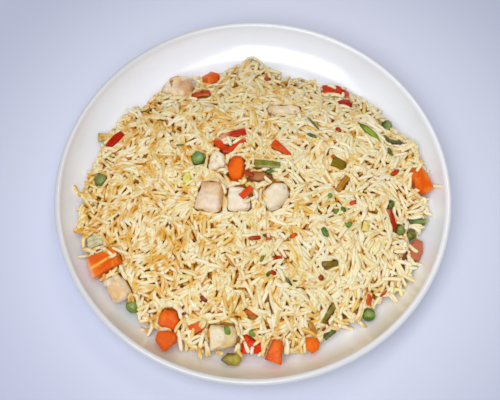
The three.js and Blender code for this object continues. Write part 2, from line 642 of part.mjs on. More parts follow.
// The piece a little larger all over, which is the bed that it takes up in the rice.
// Each corner moves out until every face that meets there has moved by the margin.
function bedOf(piece) {
  const geometry = piece.shape(piece);
  geometry.computeVertexNormals();
  const { position, normal } = geometry.attributes;
  const share = new Array(position.count).fill(1);
  const triangle = new THREE.Triangle();
  const facing = new THREE.Vector3();
  const outward = new THREE.Vector3();
  for (let start = 0; start < geometry.index.count; start += 3) {
    const corners = [0, 1, 2].map((step) => geometry.index.getX(start + step));
    triangle.setFromAttributeAndIndices(position, ...corners).getNormal(facing);
    for (const index of corners) {
      outward.fromBufferAttribute(normal, index);
      share[index] = Math.min(share[index], facing.dot(outward));
    }
  }
  for (let index = 0; index < position.count; index += 1) {
    outward.fromBufferAttribute(normal, index)
      .multiplyScalar(BED_MARGIN / Math.max(share[index], SHARPEST_SHARE));
    outward.add(new THREE.Vector3().fromBufferAttribute(position, index));
    position.setXYZ(index, outward.x, outward.y, outward.z);
  }
  return geometry;
}

// Where a turned piece lies on another one: as low as it goes without touching it.
function placeOnTop(piece, turned) {
  const lower = PIECES.find(({ name }) => name === piece.on);
  const below = new THREE.Mesh(lower.shape(lower));
  below.applyMatrix4(placement(lower));
  below.updateMatrixWorld();
  const matrix = new THREE.Matrix4().makeRotationFromQuaternion(turned).setPosition(...piece.at, 0);
  const { position } = piece.shape(piece).applyMatrix4(matrix).attributes;
  let lift = 0;
  for (let index = 0; index < position.count; index += 1) {
    const start = new THREE.Vector3(position.getX(index), position.getY(index), PLATE_RADIUS);
    const [hit] = new THREE.Raycaster(start, UP.clone().negate()).intersectObject(below);
    if (hit) lift = Math.max(lift, hit.point.z + TOUCH_GAP - position.getZ(index));
  }
  return matrix.setPosition(...piece.at, lift);
}

// Where a piece lies: turned, leant against its support, sunk in, and clear of the plate.
function placement(piece) {
  const [x, y] = piece.at;
  const tangent = new THREE.Vector3(-y, x, 0).normalize();
  const turned = new THREE.Quaternion()
    .setFromAxisAngle(tangent, -leanOf(piece))
    .multiply(new THREE.Quaternion().setFromAxisAngle(UP, radians(piece.turn)))
    .multiply(new THREE.Quaternion()
      .setFromAxisAngle(new THREE.Vector3(1, 0, 0), radians(piece.roll ?? 0)));
  if (piece.on) return placeOnTop(piece, turned);
  const depth = piece.sunk ?? piece.size[2] + VALLEY_DEPTH;
  const height = support(x, y) + piece.size[2] / 2 - depth;
  const place = new THREE.Vector3(x, y, height);
  const matrix = new THREE.Matrix4().compose(place, turned, new THREE.Vector3(1, 1, 1));
  const position = bedOf(piece).applyMatrix4(matrix).attributes.position;
  let lift = 0;
  for (let index = 0; index < position.count; index += 1) {
    const [px, py] = [position.getX(index), position.getY(index)];
    const pressed = insideHeap(px, py, 2 * EDGE_CLEAR) ? VALLEY_DEPTH : 0;
    const floor = piece.shape === strip
      ? support(px, py) - pressed
      : plateTop(Math.hypot(px, py)) + GAP;
    lift = Math.max(lift, floor - position.getZ(index));
  }
  return matrix.setPosition(x, y, place.z + lift);
}

// Small flakes too fine to be pieces of their own, fused to the rice they lie on.
const FLAKES = [
  { at: [15.2, -53.7], turn: 10, size: [9.5, 3, 2] },
  { at: [12.8, -63.5], turn: 0, size: [4, 4, 2] },
  { at: [26.5, -38.5], turn: 24, size: [7, 3, 2] },
  { at: [1.2, -41.1], turn: 6, size: [9, 2.6, 2] },
  { at: [58.9, 42.1], turn: -51, size: [4, 3, 2] },
  { at: [10.4, 87.2], turn: 12, size: [5.5, 3.6, 2] },
  { at: [97.7, 12.5], turn: 39, size: [7.8, 3, 2] },
  { at: [-31.9, -79.7], turn: -37, size: [7, 3.4, 2] },
  { at: [44.2, -65], turn: 0, size: [4, 4, 2] },
  { at: [75.3, -78.6], turn: 84, size: [7, 4, 2] },
  { at: [63.4, -30.4], turn: 48, size: [6, 4, 2] },
  { at: [54.5, -21], turn: 43, size: [4.8, 3, 2] },
  { at: [60.2, -18.4], turn: -49, size: [4, 3, 2] },
  { at: [51.2, -10.3], turn: 12, size: [3.4, 3, 2] },
  { at: [47, -36.4], turn: -66, size: [7, 3.4, 2] },
  { at: [-0.6, -100.6], turn: -29, size: [4.5, 3, 2] },
  { at: [40.4, 34.3], turn: -21, size: [8.8, 3, 2] },
  { at: [95.6, 28.7], turn: -58, size: [6, 4, 2] },
];

function flakeSolid({ at: [x, y], turn, size }) {
  const geometry = merged(new THREE.BoxGeometry(...size));
  geometry.rotateZ(radians(turn));
  geometry.translate(x, y, heapTop(x, y) + BUMP_RISE / 2);
  return toSolid(geometry);
}

function grainGeometry() {
  const geometry = merged(new THREE.SphereGeometry(1, 4, 3));
  geometry.scale(GRAIN_RADIUS, GRAIN_LENGTH / 2 + spread(LENGTH_UNEVEN), GRAIN_RADIUS);
  geometry.rotateX(spread(GRAIN_SLOPE));
  geometry.rotateZ(Math.PI * random());
  return geometry;
}

// A grain that sticks out at the heap's outline and lies on the plate.
function edgeGrain(index) {
  const angle = 2 * Math.PI * (index + EDGE_STRAY * random()) / EDGE_GRAINS;
  const radius = heapRadius(angle) + EDGE_OVERHANG + spread(EDGE_UNEVEN);
  const geometry = grainGeometry();
  geometry.translate(radius * Math.cos(angle), radius * Math.sin(angle), 0);
  const position = geometry.attributes.position;
  let lift = 0;
  for (let corner = 0; corner < position.count; corner += 1) {
    const reach = Math.hypot(position.getX(corner), position.getY(corner));
    lift = Math.max(lift, plateTop(reach) + SAFE_GAP - position.getZ(corner));
  }
  geometry.translate(0, 0, lift);
  return { place: new THREE.Vector2(radius * Math.cos(angle), radius * Math.sin(angle)), geometry };
}

// A grain that lies on top of the heap. The grains are spread evenly, by the golden angle.
function looseGrain(index) {
  const angle = index * GOLDEN_ANGLE;
  const radius = LOOSE_REACH * heapRadius(angle) * Math.sqrt((index + 0.5) / LOOSE_GRAINS);
  const [x, y] = [radius * Math.cos(angle), radius * Math.sin(angle)];
  const geometry = grainGeometry();
  geometry.translate(x, y, heapTop(x, y) + BUMP_RISE);
  return { place: new THREE.Vector2(x, y), geometry };
}

// The rice: the heap with its loose grains and flakes, less a bed for every piece.
function riceGeometry(placed) {
  const strips = PIECES.filter((piece) => piece.shape === strip);
  const grains = [
    ...Array.from({ length: EDGE_GRAINS }, (_, index) => edgeGrain(index)),
    ...Array.from({ length: LOOSE_GRAINS }, (_, index) => looseGrain(index)),
  ].filter(({ place }) => !strips.some((piece) => covers(piece, place, GRAIN_LENGTH / 2)))
    .map(({ geometry }) => toSolid(geometry));
  const flakes = FLAKES.map(flakeSolid);
  const beds = placed.filter(({ piece }) => piece.shape !== strip).map(({ piece, matrix }) => (
    toSolid(bedOf(piece).applyMatrix4(matrix))
  ));
  const whole = [...grains, ...flakes].reduce((sum, solid) => sum.add(solid), heapSolid());
  const cut = beds.reduce((rest, bed) => rest.subtract(bed), whole);
  const parts = cut.decompose();
  parts.sort((a, b) => b.volume() - a.volume());
  return toGeometry(parts[0]);
}

function material(colour, roughness) {
  return new THREE.MeshStandardMaterial({ color: COLOURS[colour], roughness, metalness: 0 });
}

function named(name, geometry, finish) {
  const mesh = new THREE.Mesh(geometry, finish);
  mesh.name = name;
  return mesh;
}

const plateOfRice = new THREE.Group();
const placed = PIECES.map((piece) => ({ piece, matrix: placement(piece) }));

plateOfRice.add(named("plate", plateGeometry(), material("glaze", 0.15)));
plateOfRice.add(named("rice", riceGeometry(placed), material("rice", 0.55)));
for (const { piece, matrix } of placed) {
  const mesh = named(piece.name, piece.shape(piece), material(piece.colour, 0.4));
  mesh.applyMatrix4(matrix);
  plateOfRice.add(mesh);
}

export default plateOfRice;
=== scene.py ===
"""The looks of a plate of coconut fried rice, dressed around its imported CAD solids.

The plate is turned again as a smooth glazed one. The rice is thousands of grains that are laid
one by one on a core of the heap's own form. Every piece of meat and vegetable is a finer copy of
its solid, with rounded edges, relief and colours of its own. Lengths are millimetres until a
mesh is made, because Blender's are metres.
"""

import math

import bpy
import numpy as np
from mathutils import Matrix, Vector


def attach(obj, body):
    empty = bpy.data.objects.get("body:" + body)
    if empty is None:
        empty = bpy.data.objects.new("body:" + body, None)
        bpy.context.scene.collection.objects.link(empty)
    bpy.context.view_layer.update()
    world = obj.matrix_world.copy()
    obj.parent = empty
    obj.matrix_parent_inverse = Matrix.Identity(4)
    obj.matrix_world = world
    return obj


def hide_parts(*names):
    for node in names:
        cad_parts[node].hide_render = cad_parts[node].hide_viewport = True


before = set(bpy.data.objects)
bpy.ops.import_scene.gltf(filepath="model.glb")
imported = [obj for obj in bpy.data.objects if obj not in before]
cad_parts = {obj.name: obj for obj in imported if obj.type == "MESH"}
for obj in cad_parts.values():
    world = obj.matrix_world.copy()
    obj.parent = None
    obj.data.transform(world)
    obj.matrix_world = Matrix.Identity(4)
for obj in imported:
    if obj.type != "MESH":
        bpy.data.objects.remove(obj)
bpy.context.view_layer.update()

MM = 0.001
SEED = 7

# The plate, with the same driving dimensions as its solid
PLATE_RADIUS = 135.0
PLATE_HEIGHT = 28.0
PLATE_SIDES = 192
FLOOR_RADIUS = 104.0
FLOOR_TOP = 7.5
WALL_THICKNESS = 4.6
WALL_TURN = math.radians(65)
WALL_STEPS = 22
LIP_STEPS = 10
FOOT_RADIUS = 86.0
FOOT_WIDTH = 6.0
FOOT_BEVEL = 0.8
LIP_RADIUS = WALL_THICKNESS / 2
WALL_REACH = (PLATE_RADIUS - LIP_RADIUS - FLOOR_RADIUS) / math.sin(WALL_TURN) - LIP_RADIUS
WALL_RISE = (PLATE_HEIGHT - FLOOR_TOP - LIP_RADIUS * (1 - math.cos(WALL_TURN))) / (
    1 - math.cos(WALL_TURN)
)

# The heap, with the same driving dimensions as its solid. Its outline radii go round from +X.
HEAP_RADII = [
    119, 121, 115, 110, 102, 101, 108, 100, 106, 107, 112, 114,
    118, 120, 119, 114, 117, 116, 114, 114, 110, 114, 119, 117,
]
HEAP_RISE = 30.0
HEAP_EDGE = 2.5
DOME_FALL = 2.2
DOME_ROUNDNESS = 0.8
HEAP_SWELL = 1.3
GAP = 0.3

# The core under the loose grains
CORE_DEPTH = 3.6
CORE_SIDES = 240
CORE_RINGS = 90
CORE_EDGE = 0.965
CORE_TUCK = 0.07

# The map of heights that the grains are laid on
MAP_REACH = 134.0
MAP_STEP = 0.4
MAP_CELLS = int(2 * MAP_REACH / MAP_STEP) + 1
LEVEL_CELLS = 11
LEVEL_REACH = 4.0

# The grains. Most keep within a share of the way to the outline.
GRAIN_REACH = 0.985
LOOSE_RISE = 4.0
UNDER_GRAINS = 1500
BUNDLES = 540
SINGLE_GRAINS = 900
EDGE_GRAINS = 290
FILL_ROUNDS = 4
FILL_GRAINS = 110
FILL_APART = 5.0
GRAIN_RADIUS = 1.4
GRAIN_MEAN = 12.4
GRAIN_UNEVEN = 1.7
GRAIN_LONGEST = 16.0
GRAIN_SINK = 0.36
LEANING = math.tan(math.radians(14))
STEEPEST = math.tan(math.radians(34))
CANDIDATES = 4
BUNDLE_SIZE = 13.0
BORDER_TRIES = 3200
HOLLOW_SIZE = 4.6
HOLLOW_LIMIT = 0.55
HOLLOW_SHARE = 0.12
BESIDE_ROUNDS = 3
BESIDE_TRIES = 1500
BESIDE_DEPTH = 1.0
OUTLINE_TRIES = 6000
BUNDLE_STEP = 1.85

# Rings and sides of the grains, the under ones coarser, and of the small bits
GRAIN_MESH = (8, 8)
UNDER_MESH = (7, 6)
BIT_RINGS = 7
BIT_SIDES = 16

# The lip is greyer, as thin glaze is, and darker still toward one side as painted shade. The near
# wall has a painted reflection of the rice between two radii. The stage's floor has a painted pool
# of light: pale up to a first radius round a place of its own, and darker past a second as painted
# shade.
LIP_SHADE_SIDE = (-0.9, -0.2, 0)
REFLECTION_SIDE = (0.15, -0.98, 0)
REFLECTION_RADII = (115.0, 129.0)
LIGHT_POOL_MIDDLE = (13.0, 16.0, 0.0)
LIGHT_POOL_RADII = (135.0, 250.0)

# Colours as sRGB, as they look in the light, how much darker the food is in itself, and how
# much its gloss varies
FOOD_TONE = 0.925
UNEVEN_GLOSS = 0.08
STAGE_PALE = "d6daed"
STAGE_SHADED = "bbc0d8"
LIP_SHADE_GREY = "d3d4d6"
RICE_REFLECTION = "eed8a6"
RICE_PALE = "fdf5da"
RICE_CREAM = "f7e5aa"
RICE_GOLD = "f0c260"
RICE_TAN = "e4a430"
# The gold and brown of the painted shade between and under the grains
GAP_SHADE_GOLD = "dc900c"
GAP_SHADE_BROWN = "9c5a02"


def linear(colour):
    """The linear values of an sRGB colour written as six hexadecimal digits."""
    shares = np.array([int(colour[place:place + 2], 16) / 255 for place in (0, 2, 4)])
    return np.where(shares <= 0.04045, shares / 12.92, ((shares + 0.055) / 1.055) ** 2.4)


def mix(first, second, share):
    """The colours between first and second, one for each share. Both may be sRGB colours."""
    first, second = (linear(end) if isinstance(end, str) else end for end in (first, second))
    return first + (second - first) * np.asarray(share)[..., None]


def smooth(low, high, values):
    """0 below low, 1 above high, and a smooth step between them."""
    share = np.clip((values - low) / (high - low), 0, 1)
    return share * share * (3 - 2 * share)


def noise(points, size, seed=0):
    """Smooth noise from -1 to 1 at points, with features of the given size."""
    places = np.asarray(points, float) / size
    cell = np.floor(places).astype(np.int64)
    share = places - cell
    share = share * share * (3 - 2 * share)
    total = np.zeros(places.shape[:-1])
    for corner in range(8):
        step = np.array([corner & 1, corner >> 1 & 1, corner >> 2 & 1])
        at = cell + step
        code = at[..., 0] * 374761393 + at[..., 1] * 668265263 + at[..., 2] * 1274126177
        code = (code + seed * 362437) & 0xFFFFFFFF
        code = ((code ^ (code >> 13)) * 1103515245) & 0xFFFFFFFF
        code = ((code ^ (code >> 15)) * 12345677) & 0xFFFFFFFF
        value = ((code ^ (code >> 16)) & 0xFFFF) / 32767.5 - 1
        weight = np.where(step, share, 1 - share).prod(-1)
        total += value * weight
    return total


def flat_noise(x, y, size, seed=0):
    """Smooth noise over the plan."""
    return noise(np.stack([x, y, np.full_like(x, 0.5)], -1), size, seed)


# Forms of the plate and the heap


def plate_top(radius):
    """Height of the plate's inner face at a distance from its axis."""
    out = np.clip((radius - FLOOR_RADIUS) / WALL_REACH, 0, math.sin(WALL_TURN))
    return FLOOR_TOP + WALL_RISE * (1 - np.sqrt(1 - out * out))


def heap_radius(angle):
    """Radius of the heap's outline at an angle."""
    radii = np.array(HEAP_RADII, float)
    place = np.mod(angle / (2 * math.pi), 1) * len(radii)
    index = np.floor(place).astype(int) % len(radii)
    blend = smooth(0, 1, place - np.floor(place))
    return radii[index] * (1 - blend) + radii[(index + 1) % len(radii)] * blend


def outline_share(x, y):
    """How far a place is on the way from the heap's middle, 0, to its outline, 1."""
    return np.hypot(x, y) / heap_radius(np.arctan2(y, x))


# How far inside the heap's outline the middles of the outermost grains stay, every 15 degrees
# from +X: where the heap's edge is steep none roll out over the plate.
GRAINS_INSIDE = [0, 2, 7, 1, 4, 8, 5, 0, 0, 4, 3, 4, 4, 0, 0, 0, 0, 0, 0, 0, 0, 0, 0, 0]


def grains_inside(angle):
    """How far inside the outline the outermost grains stay at an angle."""
    place = np.mod(angle / (2 * math.pi), 1) * len(GRAINS_INSIDE)
    return np.interp(place, range(len(GRAINS_INSIDE) + 1), [*GRAINS_INSIDE, GRAINS_INSIDE[0]])


def heap_top(x, y):
    """Height of the heap's surface, and of the plate beyond its outline."""
    share = outline_share(x, y)
    inside = np.minimum(share, 1)
    dome = HEAP_RISE * (1 - inside**DOME_FALL) ** DOME_ROUNDNESS
    wave = np.sin(x / 17 + 0.8) * np.cos(y / 14 - 0.4) + 0.6 * np.sin((x + y) / 9)
    swell = HEAP_SWELL * (1 - inside**2) * wave
    plate_height = plate_top(np.hypot(x, y))
    heap = plate_height + GAP + HEAP_EDGE + dome + swell
    return np.where(share < 1, heap, plate_height)


# Meshes


def new_object(name, data):
    """A new object of the scene, with its mesh, lamp or camera."""
    made = bpy.data.objects.new(name, data)
    bpy.context.scene.collection.objects.link(made)
    return made


def angles_round(sides):
    """Angles at even steps once round."""
    return 2 * math.pi * np.arange(sides) / sides


def mesh_from(name, points, faces, colours=None):
    """A mesh object from points in millimetres, lists of faces, and a colour for each point."""
    mesh = bpy.data.meshes.new(name)
    mesh.vertices.add(len(points))
    mesh.vertices.foreach_set("co", (np.asarray(points, float) * MM).astype(np.float32).ravel())
    sizes = np.concatenate([np.full(len(group), group.shape[1]) for group in faces])
    corners = np.concatenate([group.ravel() for group in faces])
    mesh.loops.add(len(corners))
    mesh.loops.foreach_set("vertex_index", corners.astype(np.int32))
    mesh.polygons.add(len(sizes))
    starts = np.concatenate([[0], np.cumsum(sizes)[:-1]])
    mesh.polygons.foreach_set("loop_start", starts.astype(np.int32))
    mesh.polygons.foreach_set("use_smooth", np.full(len(sizes), True))
    mesh.update(calc_edges=True)
    mesh.validate()
    if colours is not None:
        paint(mesh, colours)
    return new_object(name, mesh)


def paint(mesh, colours):
    """Gives a mesh its colours, one for each vertex."""
    layer = mesh.color_attributes.new("tone", "FLOAT_COLOR", "POINT")
    values = np.ones((len(mesh.vertices), 4), np.float32)
    values[:, :3] = np.clip(colours * FOOD_TONE, 0, 1)
    layer.data.foreach_set("color", values.ravel())


def tube_faces(rings, sides):
    """The walls of a tube of rings of points, and the caps round its two end points, which come
    after the rings."""
    side = np.arange(sides)
    after = (side + 1) % sides
    low = sides * np.arange(rings - 1)[:, None]
    high = low + sides
    walls = np.stack([low + side, low + after, high + after, high + side], -1)
    first, last = rings * sides, (rings - 1) * sides
    caps = np.concatenate([
        np.stack([np.full(sides, first), after, side], -1),
        np.stack([np.full(sides, first + 1), last + side, last + after], -1),
    ])
    return walls.reshape(-1, 4), caps


def turned(name, profile, sides):
    """A solid of revolution. The profile starts and ends on the axis."""
    middle = profile[1:-1]
    angles = angles_round(sides)
    rings = [
        np.stack([radius * np.cos(angles), radius * np.sin(angles), np.full(sides, height)], -1)
        for radius, height in middle
    ]
    points = np.concatenate([*rings, [[0, 0, profile[0][1]], [0, 0, profile[-1][1]]]])
    return mesh_from(name, points, tube_faces(len(middle), sides))


def wall_point(turn, thickness):
    """Distance and height of a place up the wall, a thickness outside its inner face."""
    return (
        FLOOR_RADIUS + (WALL_REACH + thickness) * math.sin(turn),
        FLOOR_TOP + WALL_RISE - (WALL_RISE + thickness) * math.cos(turn),
    )


def plate_profile():
    """Half the plate's section, from the middle of its underside round to the middle of its floor."""
    underside = FLOOR_TOP - WALL_THICKNESS
    inside = FOOT_RADIUS - FOOT_WIDTH
    profile = [
        (0, underside),
        (inside - 3, underside),
        (inside - 0.3, underside - 0.1),
        (inside + 0.2, underside - 0.6),
        (inside + FOOT_BEVEL - 0.1, 0.5),
        (inside + FOOT_BEVEL + 0.4, 0.05),
        (inside + FOOT_BEVEL + 1, 0),
        (FOOT_RADIUS - FOOT_BEVEL - 1, 0),
        (FOOT_RADIUS - FOOT_BEVEL - 0.3, 0.05),
        (FOOT_RADIUS - FOOT_BEVEL + 0.2, 0.5),
        (FOOT_RADIUS - 0.1, underside - 0.7),
        (FOOT_RADIUS + 0.5, underside - 0.1),
        (FOOT_RADIUS + 3, underside),
    ]
    turns = [WALL_TURN * step / WALL_STEPS for step in range(WALL_STEPS + 1)]
    profile += [wall_point(turn, WALL_THICKNESS) for turn in turns]
    middle = wall_point(WALL_TURN, LIP_RADIUS)
    for step in range(1, LIP_STEPS):
        turn = WALL_TURN - math.pi / 2 + math.pi * step / LIP_STEPS
        profile.append((
            middle[0] + LIP_RADIUS * math.cos(turn),
            middle[1] + LIP_RADIUS * math.sin(turn),
        ))
    profile += [wall_point(turn, 0) for turn in reversed(turns)]
    profile += [(FLOOR_RADIUS - 4, FLOOR_TOP), (0, FLOOR_TOP)]
    return profile


# Materials


class Shading:
    """The nodes of a new material. An input is a value or another node's output."""

    def __init__(self, name):
        self.material = bpy.data.materials.new(name)
        self.material.use_nodes = True
        self.tree = self.material.node_tree

    def fill(self, node, inputs):
        """Sets or links a node's inputs."""
        for name, value in inputs.items():
            if isinstance(value, bpy.types.NodeSocket):
                self.tree.links.new(value, node.inputs[name])
            else:
                node.inputs[name].default_value = value

    def add(self, kind, output, inputs=None, **settings):
        """Adds a node and returns its output."""
        node = self.tree.nodes.new("ShaderNode" + kind)
        for name, value in settings.items():
            setattr(node, name, value)
        self.fill(node, inputs or {})
        return node.outputs[output]

    def spread(self, value, low, high, least=0, most=1, way="SMOOTHSTEP"):
        """A value spread from between low and high to between least and most."""
        inputs = {"Value": value, "From Min": low, "From Max": high, "To Min": least,
                  "To Max": most}
        return self.add("MapRange", "Result", inputs, interpolation_type=way)

    def work_out(self, operation, first, second, kind="Math"):
        """What an operation makes of two values or vectors."""
        return self.add(kind, "Value", {0: first, 1: second}, operation=operation)

    def blend(self, share, first, second):
        """A mix of a colour or output with a second colour."""
        inputs = {"Factor": share, "A": first, "B": (*linear(second), 1)}
        return self.add("Mix", "Result", inputs, data_type="RGBA")

    def dress(self, **inputs):
        """Sets the shader's inputs, with underscores for spaces, and returns the material."""
        shader = self.tree.nodes["Principled BSDF"]
        self.fill(shader, {name.replace("_", " "): value for name, value in inputs.items()})
        return self.material


def finish(name, roughness, bump_size, bump, specular, soft=0.0, fibre=(1, 1, 1)):
    """A material that takes its colours from the mesh, with fine relief and uneven gloss."""
    looks = Shading(name)
    place = looks.add("TexCoord", "Object")
    stretched = looks.add("Mapping", "Vector", {"Vector": place, "Scale": fibre})
    grain = looks.add("TexNoise", "Fac", {"Vector": stretched, "Scale": 1 / (bump_size * MM),
                                          "Detail": 3})
    relief = looks.add("Bump", "Normal", {"Height": grain, "Strength": 1, "Distance": bump * MM})
    if soft:
        looks.dress(Subsurface_Weight=soft, Subsurface_Scale=MM,
                    Subsurface_Radius=(1.0, 0.6, 0.3))
    return looks.dress(
        Base_Color=looks.add("Attribute", "Color", attribute_name="tone"),
        Roughness=looks.spread(grain, 0, 1, roughness - UNEVEN_GLOSS, roughness + UNEVEN_GLOSS,
                               "LINEAR"),
        Normal=relief,
        Specular_IOR_Level=specular,
    )


def glaze_material():
    """White glaze: smooth, with a very faint waviness and slightly uneven gloss."""
    looks = Shading("white_glaze")
    place = looks.add("TexCoord", "Object")
    cloud = looks.add("TexNoise", "Fac", {"Vector": place, "Scale": 22, "Detail": 2})
    tint = looks.add("ValToRGB", "Color", {"Fac": cloud})
    for end, colour in zip(tint.node.color_ramp.elements, ("eef1fb", "f6f9ff")):
        end.color = (*linear(colour), 1)
    # The lip is greyer, as thin glaze is, and darker still as painted shade, most of all at the left
    reach = looks.add("VectorMath", "Value", {0: place}, operation="LENGTH")
    at_lip = looks.spread(reach, (PLATE_RADIUS - 4) * MM, (PLATE_RADIUS + 1) * MM)
    toward_left = looks.work_out("DOT_PRODUCT", place, LIP_SHADE_SIDE, "VectorMath")
    lip_shade_share = looks.spread(toward_left, -0.12, 0.04, 0.25, 1, "LINEAR")
    # A painted reflection of the rice warms the near wall, but not the lip
    nearness = looks.work_out("DOT_PRODUCT", place, REFLECTION_SIDE, "VectorMath")
    up_wall = looks.spread(reach, REFLECTION_RADII[0] * MM, REFLECTION_RADII[1] * MM, 0.1, 0.55)
    painted_reflection = looks.work_out("MULTIPLY", looks.spread(nearness, 0.045, 0.1), up_wall)
    off_lip = looks.work_out("SUBTRACT", 1, at_lip)
    reflected_tint = looks.blend(looks.work_out("MULTIPLY", painted_reflection, off_lip), tint, RICE_REFLECTION)
    return looks.dress(
        Base_Color=looks.blend(looks.work_out("MULTIPLY", at_lip, lip_shade_share), reflected_tint, LIP_SHADE_GREY),
        Roughness=looks.spread(cloud, 0, 1, 0.16, 0.22, "LINEAR"),
        Normal=looks.add("Bump", "Normal", {"Height": cloud, "Strength": 1,
                                            "Distance": 0.05 * MM}),
        IOR=1.68,
    )


MATERIALS = {
    "rice": finish("cooked_rice", 0.36, 0.9, 0.05, 0.14, soft=0.2),
    "chicken": finish("chicken_meat", 0.42, 0.8, 0.3, 0.35, fibre=(1, 2.4, 1)),
    "carrot": finish("cooked_carrot", 0.3, 0.8, 0.14, 0.15),
    "pepper": finish("red_pepper", 0.24, 1.4, 0.16, 0.14),
    "pea": finish("green_pea", 0.2, 1.2, 0.08, 0.35),
    "bean": finish("green_bean", 0.26, 1.1, 0.12, 0.3),
    "leaf": finish("green_leaf", 0.34, 0.9, 0.14, 0.3),
    "corn": finish("yellow_corn", 0.28, 1.3, 0.08, 0.35),
    "onion": finish("soft_onion", 0.26, 1.1, 0.1, 0.4),
}

plate = turned("plate_glazed", plate_profile(), PLATE_SIDES)
plate.data.materials.append(glaze_material())
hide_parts("plate")
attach(plate, "root")

# The pieces of meat and vegetable


def vectors(items, attribute, number=np.float32):
    """An attribute of a mesh's vertices or triangles, one row for each."""
    values = np.empty(len(items) * 3, number)
    items.foreach_get(attribute, values)
    return values.reshape(-1, 3)


def node_arrays(node):
    """Points in millimetres and triangles of a CAD node."""
    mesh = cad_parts[node].data
    mesh.calc_loop_triangles()
    triangles = vectors(mesh.loop_triangles, "vertices", np.int32)
    return vectors(mesh.vertices, "co") / MM, triangles


def refined(node, voxel, smoothing):
    """A finer copy of a CAD node's mesh with rounded edges."""
    copy = new_object("rough_" + node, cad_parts[node].data.copy())
    remesh = copy.modifiers.new("remesh", "REMESH")
    remesh.mode = "VOXEL"
    remesh.voxel_size = voxel * MM
    soften = copy.modifiers.new("soften", "SMOOTH")
    soften.factor = 0.5
    soften.iterations = smoothing
    graph = bpy.context.evaluated_depsgraph_get()
    mesh = bpy.data.meshes.new_from_object(copy.evaluated_get(graph))
    bpy.data.objects.remove(copy)
    mesh.name = node + "_dressed"
    mesh.materials.clear()
    return mesh


def own_axes(points):
    """A piece's middle and its axes, the longest first, each pointing right, far or up."""
    axes = np.linalg.svd(points - points.mean(0), full_matrices=False)[2]
    for row in range(3):
        if axes[row][row] < 0:
            axes[row] *= -1
    return (points.min(0) + points.max(0)) / 2, axes


# Each paint function gets a piece's points in its own axes as shares of half its size, the
# points in place, the normals, the seed of its noise and its colours. It returns a colour for
# each point.


def mottled(points, seed, first, second, low, high, size, fine=0.0, fine_size=1.0):
    """Patches of two colours."""
    patch = noise(points, size, seed) + fine * noise(points, fine_size, seed + 1)
    return mix(first, second, smooth(low, high, patch))


def paint_chicken(shares, points, normals, seed, white="f8e6c6", gold="ecc791",
                  brown="b0702f", browning=0.1):
    fibre = noise(points * (1, 1, 0.6), 1.6, seed)
    patch = noise(points, 6, seed + 1) + 0.35 * noise(points, 2, seed + 2)
    colour = mix(white, gold, smooth(-0.25, 0.75, patch + 0.2 * fibre))
    edge = np.abs(shares[:, :2]).max(1)
    edged = smooth(0.72, 1.0, edge + 0.15 * fibre)
    colour = mix(colour, gold, 0.5 * edged)
    low = smooth(0.2, -0.9, normals[:, 2])
    colour = mix(colour, gold, 0.6 * low)
    burnt = noise(points, 4.2, seed + 3) + 0.4 * noise(points, 1.5, seed + 4)
    return mix(colour, brown, smooth(0.75 - browning, 1.25 - browning, burnt))


def paint_carrot(shares, points, normals, seed, bright="f97a12", deep="e85a06", core="fb9c34",
                 stripe=None, pale=None):
    colour = mottled(points, seed, deep, bright, -0.7, 0.45, 5, 0.3, 1.4)
    streak = noise(points * (1, 1, 0.4), 2.2, seed + 2)
    colour = mix(colour, core, 0.45 * smooth(0.35, 0.9, streak))
    # Painted shade on the faces that turn down
    colour = mix(colour, deep, 0.6 * smooth(0.3, -0.7, normals[:, 2]))
    if stripe:
        along = np.abs(shares[:, 1] - stripe[0] - stripe[2] * shares[:, 0])
        colour = mix(colour, "fdb850", smooth(stripe[1], stripe[1] * 0.3, along))
    if pale:
        colour = mix(colour, "ecb08c", 0.8 * smooth(pale, pale + 0.25, -shares[:, 0]))
    return colour


def paint_pepper(shares, points, normals, seed, skin="c22a10", dark="9c1000", flesh="e8664a"):
    colour = mottled(points, seed, skin, dark, 0.0, 0.9, 4.5)
    edge = smooth(0.75, 1.0, np.abs(shares[:, 1]) + 0.12 * noise(points, 1.2, seed + 1))
    colour = mix(colour, flesh, 0.55 * edge)
    return mix(colour, flesh, 0.8 * smooth(0.0, -0.6, normals[:, 2]))


def paint_pea(shares, points, normals, seed, bright="9cae58", dark="748634"):
    colour = mottled(points, seed, dark, bright, -0.7, 0.7, 3.2, 0.3)
    # Painted light on the top and painted shade round the sides
    colour = mix(colour, "b4c48a", 0.3 * smooth(0.7, 1.0, normals[:, 2]))
    return mix(colour, "3c5a1a", 0.6 * smooth(0.6, 0.1, normals[:, 2]))


def paint_bean(shares, points, normals, seed, bright="96a53d", dark="5f6f04", inner="b6b456",
               inside=0.25):
    colour = mottled(points, seed, dark, bright, -0.6, 0.5, 3.5, 0.3, 1.2)
    middle = 1 - smooth(0.2, 0.75, np.abs(shares[:, 1]) + 0.2 * noise(points, 1.6, seed + 2))
    colour = mix(colour, inner, inside * middle)
    return mix(colour, dark, 0.6 * smooth(0.7, 1.05, np.abs(shares[:, 1])))


def paint_leaf(shares, points, normals, seed, bright="74823a", dark="464e0a"):
    colour = mottled(points, seed, dark, bright, -0.3, 0.9, 2.8, 0.4)
    vein = 1 - smooth(0.03, 0.16, np.abs(shares[:, 1]))
    return mix(colour, "98a060", 0.4 * vein)


def paint_corn(shares, points, normals, seed, bright="e6d66a", dark="b9a63c"):
    colour = mottled(points, seed, dark, bright, -0.8, 0.2, 2.6)
    return mix(colour, "a79a48", 0.5 * smooth(0.6, 1.0, np.abs(shares[:, 0])))


def paint_onion(shares, points, normals, seed, pale="dcd7ac", dark="b4a878"):
    ribs = np.sin(shares[:, 1] * 9 + 1.5 * noise(points, 4, seed))
    colour = mix(pale, dark, 0.3 + 0.3 * ribs)
    return mix(colour, dark, 0.6 * smooth(0.75, 1.0, np.abs(shares).max(1)))


